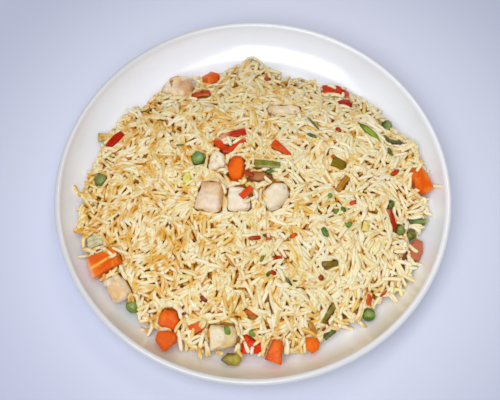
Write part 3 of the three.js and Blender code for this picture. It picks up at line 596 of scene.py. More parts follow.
# The looks of each kind: how it is painted, the voxel and smoothing of its finer copy, and the
# sizes and heights of its relief.
KINDS = {
    "chicken": (paint_chicken, 0.62, 100, [(7, 1.4), (2.4, 0.5)]),
    "carrot": (paint_carrot, 0.6, 7, [(6, 0.5), (1.8, 0.14)]),
    "pea": (paint_pea, 0.45, 5, [(3, 0.16), (1.2, 0.1)]),
    "pepper": (paint_pepper, 0.45, 4, [(4, 0.5), (1.5, 0.12)]),
    "bean": (paint_bean, 0.45, 3, [(4, 0.2), (1.4, 0.1)]),
    "leaf": (paint_leaf, 0.34, 2, [(3, 0.3), (1.2, 0.1)]),
    "corn": (paint_corn, 0.45, 4, [(3, 0.2), (1.3, 0.06)]),
    "onion": (paint_onion, 0.38, 2, [(3.5, 0.3), (1.3, 0.08)]),
}

# Colours of single pieces, in the order that their paint function takes them
TONES = {
    "chicken_far": "f9e4c2 e6c49a", "chicken_far_left": "fdf0d2 f4c88a ac6026",
    "chicken_middle_left": "fae3ca f0cd9e", "chicken_middle": "fdf0d8 f8e2c2",
    "chicken_middle_right": "fdf0d6 f4e0ba", "chicken_round": "fdf2d4 f8deb4",
    "chicken_browned": "ba7640 8e4e26 763004", "chicken_left": "f6e2c2 edc28a",
    "chicken_front": "f6e8c6 e4c482", "carrot_far": "fe944a ea5a14",
    "carrot_left": "f37614 e65e0c", "carrot_middle": "fa7014 e24a04",
    "carrot_front_left": "f2700a e45602", "carrot_front_low": "e86014 dc4c0a",
    "carrot_front": "f87020 de4c06", "carrot_front_right": "f4760a ee6402",
    "carrot_right": "fa8424 f06008", "pepper_left": "b81f04 9c0c00",
    "pepper_curved": "b42c0c 8a2002", "pepper_far_left": "c43c0e 9c2802 e2845a",
    "pepper_far_right": "cc3a1c b02208 f0907a", "pepper_far_right_low": "b81c08 980a00 d04a34",
    "pepper_middle_lower": "dc4412 b82404 f0866a", "pepper_middle_upper": "d63c10 b82400",
    "pepper_on_chicken": "e44c14 d23c08", "pepper_beside_middle": "e05016 d44410 f08a3c",
    "pepper_front": "dc3400 cc2200 f28c58", "pepper_front_left": "e4601c d64812 f09a54",
    "pepper_front_middle": "d4601c b84a08", "pepper_right_edge": "c87250 b86040 d68e70",
    "pepper_green": "8a720e 7c6000 948226", "pea_middle": "8cae62 4a7028",
    "pea_left": "7e8c42 5e6222", "pea_front_left": "82963a 5a7022",
    "pea_front_right": "7e9c30 4e6a0c", "pea_right": "98a85a 748638",
    "bean_far_right": "94a828 3c4e00 7c9014", "bean_middle": "808600 565c00 8e8c06",
    "bean_round": "6e8430 3c5210 a4ac74", "bean_right": "7c9c50 3c5820 98ac6c",
    "bean_ring": "8c8a38 585810 9c9850", "bean_sliver": "8c7208 685000 9b8535",
    "bean_front": "987e1a 705a0a baa53c", "leaf_far_right": "8a9268 56603e",
    "leaf_front": "b09848 806c20", "leaf_front_right": "727648 4c501c",
    "corn_left": "d8b86c b88e3c", "corn_middle_left": "ebe371 cdb442",
    "corn_right": "fae485 ecd270", "onion_right": "d0902c a25a00",
}

# What else sets single pieces apart: values of their paint function, the record's slot, and
# sides that differ: the direction (0 right, 1 far, 2 up), the shares of half the piece between
# which the colour comes in, the colour, and how much of it
APART = {
    "chicken_far_left": {"browning": 0.4, "sides": [(0, -0.5, -1.0, "b4743c", 0.6),
                                                    (2, 0.35, 0.95, "d0905a", 0.75)]},
    "chicken_middle_left": {"browning": 0.0, "sides": [(1, 0.15, 0.75, "dc9f5c", 0.7),
                                                       (0, 0.4, 0.95, "cc8a42", 0.7)]},
    "chicken_middle": {"browning": 0.0},
    "chicken_middle_right": {"browning": 0.0},
    "chicken_round": {"browning": 0.0},
    "chicken_browned": {"browning": 0.35, "slot": "browned",
                        "sides": [(0, 0.5, 1.0, "8a420f", 0.7), (1, 0.2, 0.9, "a04c2c", 0.6),
                                  (1, -0.3, -0.9, "d09a70", 0.45),
                                  (0, -0.4, -1.0, "745040", 0.7)]},
    "chicken_front": {"browning": 0.0},
    "carrot_left": {"stripe": (0.05, 0.16, 0.1), "pale": 0.6},
    "carrot_middle": {"smoothing": 20, "sides": [(0, 0.55, 1.0, "cc3a08", 0.7)]},
    "carrot_right": {"sides": [(0, -0.1, -0.7, "d8480a", 0.55)]},
    "pepper_curved": {"sides": [(0, 0.2, -0.5, "ee9270", 0.6)]},
    "pepper_far_right_low": {"smoothing": 12},
    "pepper_middle_lower": {"sides": [(1, 0.45, 0.9, "f0b49c", 0.5)]},
    "pepper_middle_upper": {"sides": [(0, -0.1, -0.6, "f0b090", 0.7)]},
    "pepper_right_edge": {"smoothing": 26, "slot": "salmon"},
    "pepper_green": {"paint": paint_bean, "inside": 0.3, "slot": "olive"},
    "bean_far_right": {"sides": [(1, 0.1, 0.8, "4a5206", 0.6)]},
    "bean_middle": {"sides": [(1, -0.3, -0.8, "d4cc98", 0.5), (0, -0.45, -0.85, "8e7008", 0.8)]},
    "bean_round": {"inside": 0.6},
    "bean_right": {"inside": 0.4, "sides": [(0, -0.1, -0.7, "4a4a14", 0.85),
                                            (0, 0.3, 0.9, "d2d294", 0.7)]},
    "bean_ring": {"slot": "olive"},
    "bean_sliver": {"slot": "olive"},
    "bean_front": {"inside": 0.7, "slot": "olive",
                   "sides": [(0, 0.1, 0.5, "aa9c26", 0.7), (0, -0.1, -0.7, "5c5410", 0.6)]},
    "corn_left": {"slot": "olive"},
    "onion_right": {"slot": "browned"},
}


def dress_piece(node, seed):
    """Replaces a piece's node by its finer copy, with relief and colours."""
    kind = node.split("_")[0]
    paint_kind, voxel, smoothing, relief = KINDS[kind]
    special = dict(APART.get(node, {}))
    slot = special.pop("slot", kind)
    painter = special.pop("paint", paint_kind)
    tones = TONES.get(node, "").split()
    sides = special.pop("sides", [])
    mesh = refined(node, voxel, special.pop("smoothing", smoothing))
    points = vectors(mesh.vertices, "co").astype(float) / MM
    normals = vectors(mesh.vertices, "normal").astype(float)
    for step, (size, height) in enumerate(relief):
        points += normals * (height * noise(points, size, seed + 11 * step))[:, None]
    mesh.vertices.foreach_set("co", (points * MM).astype(np.float32).ravel())
    mesh.update()
    middle, axes = own_axes(points)
    local = (points - middle) @ axes.T
    shares = local / np.maximum(np.abs(local).max(0), 1e-6)
    colours = painter(shares, points, normals, seed, *tones, **special)
    around = (points - middle) / (np.ptp(points, axis=0) / 2)
    ragged = 0.15 * noise(points, 2.0, seed + 5)
    for axis, start, end, colour, amount in sides:
        colours = mix(colours, colour, amount * smooth(start, end, around[:, axis] + ragged))
    paint(mesh, colours)
    mesh.polygons.foreach_set("use_smooth", np.full(len(mesh.polygons), True))
    mesh.materials.append(MATERIALS[kind])
    piece = new_object(node + "_dressed", mesh)
    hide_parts(node)
    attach(piece, "root")


TOPPINGS = sorted(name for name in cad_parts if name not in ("plate", "rice"))
for place, node in enumerate(TOPPINGS):
    dress_piece(node, 31 * place)

# The map of heights, which the grains are laid on one by one

map_axis = np.linspace(-MAP_REACH, MAP_REACH, MAP_CELLS)
map_x, map_y = np.meshgrid(map_axis, map_axis)
heap_map = heap_top(map_x, map_y)
map_share = outline_share(map_x, map_y)


def core_height(x, y):
    """Height of the core: the heap's surface, lower by the grains' depth, with relief."""
    ripple = 0.55 * flat_noise(x, y, 3.0, 5) + 0.35 * flat_noise(x, y, 1.4, 6)
    depth = CORE_DEPTH * (1 - 0.35 * smooth(0.85, 1.0, outline_share(x, y)))
    return np.maximum(heap_top(x, y) - depth + ripple, plate_top(np.hypot(x, y)) + GAP)


def cell_of(place):
    """The row or column of the map at a place."""
    return np.clip(np.rint((place + MAP_REACH) / MAP_STEP).astype(int), 0, MAP_CELLS - 1)


# The pieces that grains may lie across. All others are clear.
CROSSED = {
    "carrot_left", "carrot_right", "carrot_front_low", "chicken_left", "pepper_front_left",
    "pea_front_left", "pepper_front", "pepper_far_right",
}


def cells_round(x, y, reach):
    """Nine cells of the map: at a place and so far to its sides."""
    steps = reach * np.arange(-1, 2)
    return cell_of(y + steps)[:, None], cell_of(x + steps)[None, :]


def window_of(left, right, near, far):
    """The part of the map between places."""
    columns = cell_of(np.array([left, right]))
    rows = cell_of(np.array([near, far]))
    return slice(rows[0], rows[1] + 1), slice(columns[0], columns[1] + 1)


def topping_heights():
    """Height of the topmost piece over every cell, and where a piece is clear of grains."""
    heights = np.full(map_x.shape, -1.0)
    clear = np.full(map_x.shape, False)
    for node in TOPPINGS:
        points, triangles = node_arrays(node)
        for a, b, c in points[triangles]:
            turn = (b[0] - a[0]) * (c[1] - a[1]) - (b[1] - a[1]) * (c[0] - a[0])
            if abs(turn) < 1e-9:
                continue
            window = window_of(min(a[0], b[0], c[0]), max(a[0], b[0], c[0]),
                               min(a[1], b[1], c[1]), max(a[1], b[1], c[1]))
            x, y = map_x[window], map_y[window]
            second = ((x - a[0]) * (c[1] - a[1]) - (y - a[1]) * (c[0] - a[0])) / turn
            third = ((b[0] - a[0]) * (y - a[1]) - (b[1] - a[1]) * (x - a[0])) / turn
            inside = (second >= -1e-6) & (third >= -1e-6) & (second + third <= 1 + 1e-6)
            height = a[2] + second * (b[2] - a[2]) + third * (c[2] - a[2])
            raised = np.maximum(heights[window], height)
            heights[window] = np.where(inside, raised, heights[window])
            clear[window] |= inside & (node not in CROSSED)
    return heights, clear


def blurred(values, cells):
    """A box blur, run twice each way."""
    for _ in range(2):
        for axis in (0, 1):
            padded = np.concatenate([
                np.repeat(values.take([0], axis), cells + 1, axis),
                values,
                np.repeat(values.take([-1], axis), cells, axis),
            ], axis)
            total = np.cumsum(padded, axis)
            width = 2 * cells + 1
            high = total.take(range(width, total.shape[axis]), axis)
            low = total.take(range(0, total.shape[axis] - width), axis)
            values = (high - low) / width
    return values


topping_map, clear_map = topping_heights()
covered = topping_map > 0
cover = covered.astype(float)
near_topping = blurred(cover, 2) > 0.02
hollows = flat_noise(map_x, map_y, HOLLOW_SIZE, 21) + 0.5 * flat_noise(map_x, map_y, 2.6, 22)
hollow_map = hollows > HOLLOW_LIMIT
ground = np.where(map_share < CORE_EDGE, core_height(map_x, map_y),
                  plate_top(np.hypot(map_x, map_y)))
height_map = np.maximum(ground, topping_map)

rng = np.random.default_rng(SEED)

# A grain's ground is read at places along its axis and along its two sides
SAMPLES = np.linspace(-0.92, 0.92, 9)
SIDE = 0.7
SIDE_DROP = 1 - math.sqrt(1 - SIDE * SIDE)


def heading_at(x, y):
    """The heading of a bundled grain: it drifts smoothly over the heap."""
    return math.pi * (0.5 + 1.6 * flat_noise(x, y, BUNDLE_SIZE, 3))


def placed(x, y, heading, along, across):
    """A place so far along and across a heading from another one."""
    return (x + along * math.cos(heading) - across * math.sin(heading),
            y + along * math.sin(heading) + across * math.cos(heading))


def footprint(x, y, heading, half, radius):
    """The cells under a grain's axis and under its two sides, and their places along it."""
    along = SAMPLES * half
    rows = []
    for side in (-SIDE * radius, 0, SIDE * radius):
        place_x, place_y = placed(x, y, heading, along, side)
        rows.append((cell_of(place_y), cell_of(place_x)))
    return along, rows


def resting(x, y, heading, half, radius):
    """Where a grain comes to rest: the height of its middle, its slope, and its ground."""
    along, rows = footprint(x, y, heading, half, radius)
    under = [height_map[row] for row in rows]
    drop = SIDE_DROP * radius
    profile = np.maximum(np.maximum(under[0], under[2]) - drop, under[1])
    left, right = along[:, None], along[None, :]
    pairs = (left < 0) & (right > 0)
    span = np.where(pairs, right - left, 1)
    middle = (profile[:, None] * right - profile[None, :] * left) / span
    best = np.argmax(np.where(pairs, middle, -1e9))
    first, second = np.unravel_index(best, middle.shape)
    slope = (profile[second] - profile[first]) / (along[second] - along[first])
    return (profile - slope * along).max(), slope, profile, along, rows


def stamp(x, y, height, heading, slope, half, radius):
    """Adds a laid grain to the map of heights."""
    reach = half + 1
    window = window_of(x - reach, x + reach, y - reach, y + reach)
    dx, dy = map_x[window] - x, map_y[window] - y
    along = dx * math.cos(heading) + dy * math.sin(heading)
    across = dy * math.cos(heading) - dx * math.sin(heading)
    girth = radius * np.sqrt(np.clip(1 - np.abs(along / half) ** 3, 0, 1))
    room = girth**2 - across**2
    top = height + slope * along + np.sqrt(np.clip(room, 0, None))
    raised = np.maximum(height_map[window], top)
    height_map[window] = np.where(room > 0, raised, height_map[window])


# The laid grains: place, height, heading, slope, half length, radius and kind
laid = []


def lay(x, y, heading, half, radius, kind, rise, leaning=LEANING):
    """Lays one grain at rest, pressed into the ones below to at most a rise above the heap."""
    height, slope, profile, along, rows = resting(x, y, heading, half, radius)
    middle = rows[1]
    loose = covered[middle].any() or map_share[middle].max() > CORE_EDGE
    ends = heap_map[middle]
    down = (ends[-1] - ends[0]) / (along[-1] - along[0])
    spare = STEEPEST if loose else leaning
    slope = min(max(slope, down - spare), down + spare)
    height = (profile - slope * along).max() + GRAIN_SINK * radius * math.sqrt(1 + slope * slope)
    at = cell_of(y), cell_of(x)
    if loose:
        height = min(height, max(heap_map[at], topping_map[at]) + LOOSE_RISE)
    else:
        height = min(height, heap_map[at] + rise)
    stamp(x, y, height, heading, slope, half, radius)
    laid.append((x, y, height, heading, slope, half, radius, kind))


def grain_size():
    """Half the length and the radius of a grain, and whether it is a broken one."""
    broken = rng.random() < 0.1
    length = rng.uniform(4.5, 7) if broken else rng.normal(GRAIN_MEAN, GRAIN_UNEVEN)
    return min(max(length, 4.2), GRAIN_LONGEST) / 2, GRAIN_RADIUS * rng.uniform(0.84, 1.1), broken


def random_place():
    """A random place of the heap."""
    angle = rng.uniform(0, 2 * math.pi)
    radius = heap_radius(angle) * GRAIN_REACH * math.sqrt(rng.random())
    return radius * math.cos(angle), radius * math.sin(angle)


def hidden_share(x, y, heading, half, radius, over=1):
    """How much of a grain would lie over pieces of meat and vegetable. Over a clear one
    a grain lies with few of its samples. None lies too far out."""
    _, rows = footprint(x, y, heading, half, radius)
    if sum(clear_map[row].sum() for row in rows) > over:
        return 1.0
    angle = math.atan2(y, x)
    if math.hypot(x, y) > heap_radius(angle) + 1.6 - grains_inside(angle):
        return 1.0
    return np.mean([covered[row].mean() for row in rows])


def level_at(x, y):
    """How far the grains round a place stand above the heap's surface."""
    cells = cells_round(x, y, LEVEL_REACH)
    return (height_map[cells] - heap_map[cells]).mean()


def lowest_place():
    """The lowest of a few random places."""
    places = [random_place() for _ in range(CANDIDATES)]
    return min(places, key=lambda place: level_at(*place))


def in_hollow(x, y, heading, half, radius):
    """Whether a grain would cover one of the small hollows that the upper grains leave open."""
    _, rows = footprint(x, y, heading, half, radius)
    return np.mean([hollow_map[row].mean() for row in rows]) > HOLLOW_SHARE and rng.random() < 0.9


def upper_kind(x, y, broken):
    """The kind of a grain. Grains of one kind lie together in patches."""
    if broken:
        return "broken"
    patch = 0.8 * flat_noise(x, y, 6.0, 31) + rng.normal(0, 0.36)
    return "pale" if patch < 0.1 else "cream" if patch < 0.62 else "gold"


def lay_bundle(rise):
    """Lays a few grains side by side that point nearly the same way."""
    x, y = lowest_place()
    heading = heading_at(x, y) if rng.random() < 0.6 else rng.uniform(0, math.pi)
    count = rng.integers(3, 8)
    fan = rng.normal(0, 0.05)
    for place in range(count):
        half, radius, broken = grain_size()
        aside = (place - (count - 1) / 2) * BUNDLE_STEP + rng.normal(0, 0.3)
        ahead = rng.normal(0, 2.4)
        own = heading + fan * place + rng.normal(0, 0.1)
        own_x, own_y = placed(x, y, heading, ahead, aside)
        allowed = 0.4 if rng.random() < 0.12 else 0.08
        if outline_share(own_x, own_y) > 0.99 or in_hollow(own_x, own_y, own, half, radius):
            continue
        if hidden_share(own_x, own_y, own, half, radius) < allowed:
            kind = upper_kind(own_x, own_y, broken)
            lay(own_x, own_y, own, half, radius, kind, rise + rng.normal(0, 0.3))


def low_places(count):
    """The lowest free places of the heap, a distance apart."""
    level = blurred(height_map, 2) - heap_map
    level[(map_share > 0.97) | near_topping | hollow_map] = 1e3
    order = np.argpartition(level.ravel(), 60 * count)[:60 * count]
    order = order[np.argsort(level.ravel()[order])]
    chosen = np.empty((0, 2))
    for cell in order:
        place = np.array([map_x.flat[cell], map_y.flat[cell]])
        if len(chosen) and np.hypot(*(chosen - place).T).min() < FILL_APART:
            continue
        chosen = np.append(chosen, [place], 0)
        if len(chosen) == count:
            break
    return chosen


def fill_gaps(rounds, rise):
    """Lays grains into the lowest places, each turned the way that it lies deepest."""
    for _ in range(rounds):
        for x, y in low_places(FILL_GRAINS):
            half, radius, broken = grain_size()
            tries = []
            for heading in rng.uniform(0, math.pi, 5):
                if hidden_share(x, y, heading, half, radius) < 0.1:
                    tries.append((resting(x, y, heading, half, radius)[0], heading))
            if tries:
                lay(x, y, min(tries)[1], half, radius, upper_kind(x, y, broken), rise)


def fill_beside_pieces():
    """Lays grains, short ones too, into the gaps that are left between and beside the pieces."""
    beside = (blurred(cover, 9) > 0.02) & ~covered & (map_share < GRAIN_REACH)
    for _ in range(BESIDE_ROUNDS):
        cells = np.argwhere(beside & (height_map - heap_map < -BESIDE_DEPTH))
        for row, column in rng.permutation(cells)[:BESIDE_TRIES]:
            if height_map[row, column] - heap_map[row, column] > -BESIDE_DEPTH:
                continue
            x, y = map_axis[column], map_axis[row]
            radius = GRAIN_RADIUS * rng.uniform(0.78, 1.0)
            for length, over in ((11.0, 1), (9.0, 2), (7.5, 3), (6.0, 4)):
                headings = [heading for heading in rng.uniform(0, math.pi, 4)
                            if hidden_share(x, y, heading, length / 2, radius, over) < 0.05 * over]
                if headings:
                    lay(x, y, headings[0], length / 2, radius, upper_kind(x, y, False), 0.2)
                    break


def fill_outline():
    """Lays grains where the plate would show between those at the heap's outline."""
    open_cells = (map_share > 0.9) & (map_share < 0.99) & ~covered
    for row, column in rng.permutation(np.argwhere(open_cells))[:OUTLINE_TRIES]:
        x, y = map_axis[column], map_axis[row]
        if height_map[row, column] > plate_top(math.hypot(x, y)) + 0.5:
            continue
        half, radius, broken = grain_size()
        heading = math.atan2(y, x) + math.pi / 2 + rng.normal(0, 0.5)
        if hidden_share(x, y, heading, 0.8 * half, radius) < 0.1:
            lay(x, y, heading, 0.8 * half, radius, "cream", 0)


for _ in range(UNDER_GRAINS):
    half, radius, broken = grain_size()
    x, y = lowest_place()
    heading = rng.uniform(0, math.pi)
    if hidden_share(x, y, heading, half, radius) < 0.1:
        lay(x, y, heading, half, radius, "under", rng.normal(-1.7, 0.3))

# Grains at the outline stick out over the plate in every direction
for index in range(EDGE_GRAINS):
    half, radius, broken = grain_size()
    angle = 2 * math.pi * (index + rng.random()) / EDGE_GRAINS
    out = heap_radius(angle) + rng.uniform(-5, 1.5) - grains_inside(angle)
    x, y = out * math.cos(angle), out * math.sin(angle)
    heading = rng.uniform(0, math.pi)
    if hidden_share(x, y, heading, half, radius) < 0.1:
        lay(x, y, heading, half, radius, "broken" if broken else "cream", 0)

# Grains lie along and against the pieces, and a few reach over their edges
border = blurred(cover, 3)
border_cells = np.argwhere((border > 0.04) & (border < 0.3) & (map_share < GRAIN_REACH))
for row, column in border_cells[rng.choice(len(border_cells), BORDER_TRIES, replace=False)]:
    x, y = map_axis[column], map_axis[row]
    if height_map[row, column] - heap_map[row, column] > -0.2:
        continue
    rise_x = border[row, column + 2] - border[row, column - 2]
    rise_y = border[row + 2, column] - border[row - 2, column]
    across = rng.random() < 0.18
    heading = math.atan2(rise_y, rise_x) + (rng.normal(0, 0.4) if across else
                                            math.pi / 2 + rng.normal(0, 0.25))
    half, radius, broken = grain_size()
    if hidden_share(x, y, heading, half, radius) < (0.6 if across else 0.25):
        lay(x, y, heading, half, radius, upper_kind(x, y, broken), 0.3)

fill_outline()
for index in range(BUNDLES):
    lay_bundle(-0.4 + 1.1 * index / BUNDLES)
fill_gaps(FILL_ROUNDS, 0.2)
fill_beside_pieces()
for _ in range(SINGLE_GRAINS):
    half, radius, broken = grain_size()
    x, y = lowest_place()
    heading = heading_at(x, y) + rng.normal(0, 0.5)
    if in_hollow(x, y, heading, half, radius):
        continue
    if hidden_share(x, y, heading, half, radius) < 0.08:
        kind = upper_kind(x, y, broken)
        lay(x, y, heading, half, radius, kind, rng.normal(1.1, 0.5), 1.6 * LEANING)

# Grains that lie clear of the heap or on a piece: place, heading in degrees and length
STRAY_GRAINS = [
    (-122, 3.5, 122, 9.5), (-115.5, -3, 138, 10.5), (-110, -6.5, 155, 10),
    (-7, 106, 62, 10), (-4, 110, 40, 10), (-1, 112, 20, 9), (4, 111, 155, 10),
    (7, 107, 120, 10), (1, 105, 100, 10),
    (126, 3.6, 160, 9), (-99.4, -44, 138, 8), (-95.8, -46.4, 142, 9), (-92.9, -49.8, 17, 8),
    (-92.6, -58.7, 141, 6), (-79.5, -75.6, 112, 7), (-82.3, -76.8, 66, 5.5),
    (-77.2, -76, 122, 6), (-32.7, -94.5, 47, 6), (-4.3, -108.6, 113, 8.5),
    (-0.6, -110.5, 80, 6), (114.6, 17, 59, 9), (107.5, -41, 140, 8),
    (56.6, 81.6, 155, 7), (65.7, 83.6, 46, 9), (-32.3, -95.2, 56, 6.5),
    (-25.1, -1.2, 146, 8), (-19.9, -7.4, 112, 8), (3.0, -2.9, 164, 7), (9.9, -1.8, 141, 7),
    (56.5, 75.6, 178, 10), (59.6, 73.5, 172, 9), (-4.3, -16.7, 32, 6), (7.9, -14.5, 120, 8),
    (1.2, -11.5, 118, 7),
    (-24.6, -85.9, 97, 10.9), (-18.1, -87.9, 97, 10.8), (-25.2, -92.7, 9, 9.2),
    (-10.1, -99.1, 106, 7.2), (-12.6, -93.9, 141, 7.5), (-29.8, -98.7, 100, 7.2),
    (-16.4, -92.3, 168, 9),
]
for x, y, heading, length in STRAY_GRAINS:
    lay(x, y, math.radians(heading), length / 2, GRAIN_RADIUS * 0.92, "pale", 0)

# Small bits between the grains, flat on the heap: their colours, material and slot, and for
# each its place, heading in degrees, length and width
BITS = {
    "red": ("ca4810", "942000", "pepper", "pepper", [
        (15.2, -53.7, 10, 9.9, 2.8), (12.8, -63.5, 0, 4.2, 3.4), (1.2, -41.1, 6, 9.2, 2.6),
        (10.4, 87.2, 12, 5.5, 3.6), (97.7, 12.5, 39, 7.8, 3), (-2.6, 2.4, -30, 6.6, 4.0),
        (59.0, 42.6, -58, 4.6, 2.8),
    ]),
    "dark_red": ("9c3a12", "621c04", "onion", "browned", [
        (-31.9, -79.7, -37, 7, 3), (-45.5, -83.7, 70, 2.6, 1.6), (-44.8, -87.4, 0, 2.8, 1.8),
        (44.2, -65.0, 89, 4, 3.2), (101.4, -46.6, 60, 7.7, 2.2), (48.5, -93.2, -53, 3.6, 1.6),
        (45.5, -97.0, 37, 3.4, 1.4),
    ]),
    "orange": ("e8641c", "c04410", "pepper", "pepper", [
        (26.5, -38.5, 24, 7, 3), (75.3, -78.6, 84, 7.4, 4), (85.5, -72.8, 40, 6.2, 1.8),
        (54.3, 19.1, 34, 3.6, 2.2), (10.4, -41.1, 20, 4.5, 1.8), (66.8, -13.6, 37, 5.3, 2.6),
    ]),
    "green": ("7e9a34", "4a6414", "bean", "bean", [
        (63.4, -30.4, 48, 6.4, 4), (55.0, -20.4, 43, 4.8, 3), (59.8, -19.4, -49, 4.2, 3),
        (51.2, -10.3, 12, 3.6, 3), (47.0, -36.4, -66, 7.1, 3.5), (-0.6, -100.8, -29, 4.5, 3),
        (10.7, 4.0, 1, 6.0, 2.4), (-16.9, -99.6, -82, 6.4, 4.2),
    ]),
    "olive": ("7c7a26", "4a4a0e", "leaf", "leaf", [
        (40.4, 34.3, -21, 8.8, 3), (95.2, 29.1, -69, 7, 3.4), (93.7, 40.0, -50, 7.1, 3.6),
        (41.9, 45.1, -55, 12.7, 1.8), (6.1, -54.5, 56, 4.7, 2.2), (23.2, -69.3, -47, 5.7, 2),
        (9.6, -65.1, 58, 3.7, 2), (-49.7, 28.1, -4, 6.6, 1.8),
    ]),
    "tan": ("dc9a34", "b8741c", "rice", "browned", [
        (22.9, 86.0, 23, 7.2, 2.2), (-14.7, -56.8, -52, 11.6, 1.8), (38.8, -96.8, -62, 10, 3.6),
    ]),
}


def bits_mesh(name, bright, dark, finish_name, slot, bits):
    """One mesh of small uneven bits that lie on the grains, like rounded pads."""
    turns, levels = np.meshgrid(angles_round(BIT_SIDES), np.linspace(-1, 1, BIT_RINGS))
    girth = (1 - np.abs(levels) ** 2.5) ** 0.45
    outline = [girth * np.cos(turns), girth * np.sin(turns), levels]
    unit = np.stack([np.sign(part) * np.abs(part) ** 0.92 for part in outline], -1)
    walls = tube_faces(BIT_RINGS, BIT_SIDES)[0]
    points, faces, colours = [], [], []
    for order, (x, y, heading, length, width) in enumerate(bits):
        turn = math.radians(heading)
        local = unit.reshape(-1, 3) * (length / 2, width / 2, min(0.35 * width, 1.0))
        local += local * 0.34 * noise(local + 50 * order, 1.9, 41)[:, None]
        place_x, place_y = placed(x, y, turn, local[:, 0], local[:, 1])
        top = height_map[cells_round(x, y, 1)].max()
        lean = heap_top(place_x, place_y) - heap_top(x, y)
        points.append(np.stack([place_x, place_y, top + 0.1 + local[:, 2] + lean], -1))
        faces.append(walls + order * len(local))
        patch = noise(points[-1], 2.2, 43)
        colours.append(mix(dark, bright, smooth(-0.5, 0.4, patch)))
    made = mesh_from(name, np.concatenate(points), [np.concatenate(faces)],
                     np.concatenate(colours))
    made.data.materials.append(MATERIALS[finish_name])
    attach(made, "root")


for name, looks in BITS.items():
    bits_mesh("bits_" + name, *looks)

# Colours of the grains, by their kind and their place, and painted shade by how deep each point lies

# The under grains lean to gold, as painted shade for the layer below the others
GRAIN_TONES = {
    "under": (RICE_CREAM, RICE_GOLD),
    "pale": (RICE_PALE, RICE_CREAM),
    "cream": (RICE_CREAM, RICE_PALE),
    "gold": (RICE_GOLD, RICE_CREAM),
    "broken": (RICE_CREAM, RICE_PALE),
}

level_map = blurred(np.minimum(height_map, heap_map + 2), LEVEL_CELLS)
beside_map = smooth(0.02, 0.3, blurred(cover, 4))


def shaded_by_depth(colours, points):
    """Painted shade: grains turn gold and brown between and under the others, the deeper the more."""
    cells = cell_of(points[..., 1]), cell_of(points[..., 0])
    inner = smooth(1.0, 0.93, map_share[cells])
    deep = inner * (level_map[cells] - points[..., 2])
    colours = mix(colours, GAP_SHADE_GOLD, 0.95 * smooth(0.3, 1.6, deep))
    # Brown painted shade where grains lie deepest, less of it beside the pieces
    browned = 0.95 * smooth(1.4, 2.6, deep) * (1 - 0.7 * beside_map[cells])
    return mix(colours, GAP_SHADE_BROWN, browned)


def grain_mesh(name, grains, base, other, rings, sides):
    """One mesh of many grains: long, tapered, slightly bent, each of its own tone."""
    values = np.array([grain[:7] for grain in grains], float)
    x, y, z, heading, slope, half, radius = values.T
    count = len(values)
    lift = 1 / np.sqrt(1 + slope * slope)
    along = np.stack([np.cos(heading) * lift, np.sin(heading) * lift, slope * lift], -1)
    across = np.stack([-np.sin(heading), np.cos(heading), np.zeros(count)], -1)
    up = np.cross(along, across)
    bend = rng.normal(0, 0.7, count)
    sag = rng.normal(0, 0.18, count)
    flat = rng.uniform(0.82, 1.0, count)
    place = -np.cos(np.linspace(0, math.pi, rings))
    girth = (1 - np.abs(place[1:-1]) ** 5) ** 0.42
    angles = angles_round(sides)
    bow = 1 - place**2
    spine = (
        np.stack([x, y, z], -1)[:, None]
        + along[:, None] * (place * half[:, None])[..., None]
        + across[:, None] * (bow * bend[:, None])[..., None]
        + up[:, None] * (bow * sag[:, None])[..., None]
    )
    lean = rng.uniform(0.85, 1.12, (count, rings - 2))
    wide = (radius[:, None] * girth * lean)[..., None]
    ring_points = (
        spine[:, 1:-1, None]
        + across[:, None, None] * (wide * np.cos(angles))[..., None]
        + up[:, None, None] * (wide * np.sin(angles) * flat[:, None, None])[..., None]
    )
    points = np.concatenate([ring_points.reshape(count, -1, 3), spine[:, :1], spine[:, -1:]], 1)
    lowest = plate_top(np.hypot(points[..., 0], points[..., 1])) + 0.05
    points[..., 2] = np.maximum(points[..., 2], lowest)

    walls, caps = tube_faces(rings - 2, sides)
    step = (np.arange(count) * points.shape[1])[:, None, None]
    faces = [(walls + step).reshape(-1, 4), (caps + step).reshape(-1, 3)]

    patch = 0.4 * flat_noise(x, y, 22, 8) + 0.7 * flat_noise(x, y, 6, 9)
    share = np.clip(0.5 + 0.5 * patch + rng.normal(0, 0.15, count), 0, 1)
    tone = mix(base, other, share)
    tone = tone * rng.normal(1.0, 0.025, count)[:, None]
    colours = np.repeat(tone[:, None], points.shape[1], 1)
    ends = np.concatenate([np.repeat(np.abs(place[1:-1]), sides), [1, 1]])
    colours = mix(colours, RICE_GOLD, 0.3 * smooth(0.55, 1.0, ends)[None, :])
    stain = (0.32 * noise(points, 9, 12) + 0.9 * noise(points, 3.2, 13)
             + 0.58 * noise(points, 1.7, 14) - points[..., 0] / 290 - 0.02)
    colours = mix(colours, RICE_GOLD, 0.78 * smooth(0.0, 0.62, stain))
    colours = mix(colours, RICE_TAN, 0.85 * smooth(0.46, 0.95, stain))
    colours = shaded_by_depth(colours, points)
    # Painted shade toward the far side and painted light toward the right
    light = 1 - 0.09 * smooth(10, 90, points[..., 1]) + 0.05 * smooth(10, 100, points[..., 0])
    colours *= light[..., None]
    made = mesh_from(name, points.reshape(-1, 3), faces, colours.reshape(-1, 3))
    made.data.materials.append(MATERIALS["rice"])
    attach(made, "root")


for kind, (base, other) in GRAIN_TONES.items():
    chosen = [grain for grain in laid if grain[7] == kind]
    rings, sides = UNDER_MESH if kind == "under" else GRAIN_MESH
    grain_mesh("rice_" + kind, chosen, base, other, rings, sides)


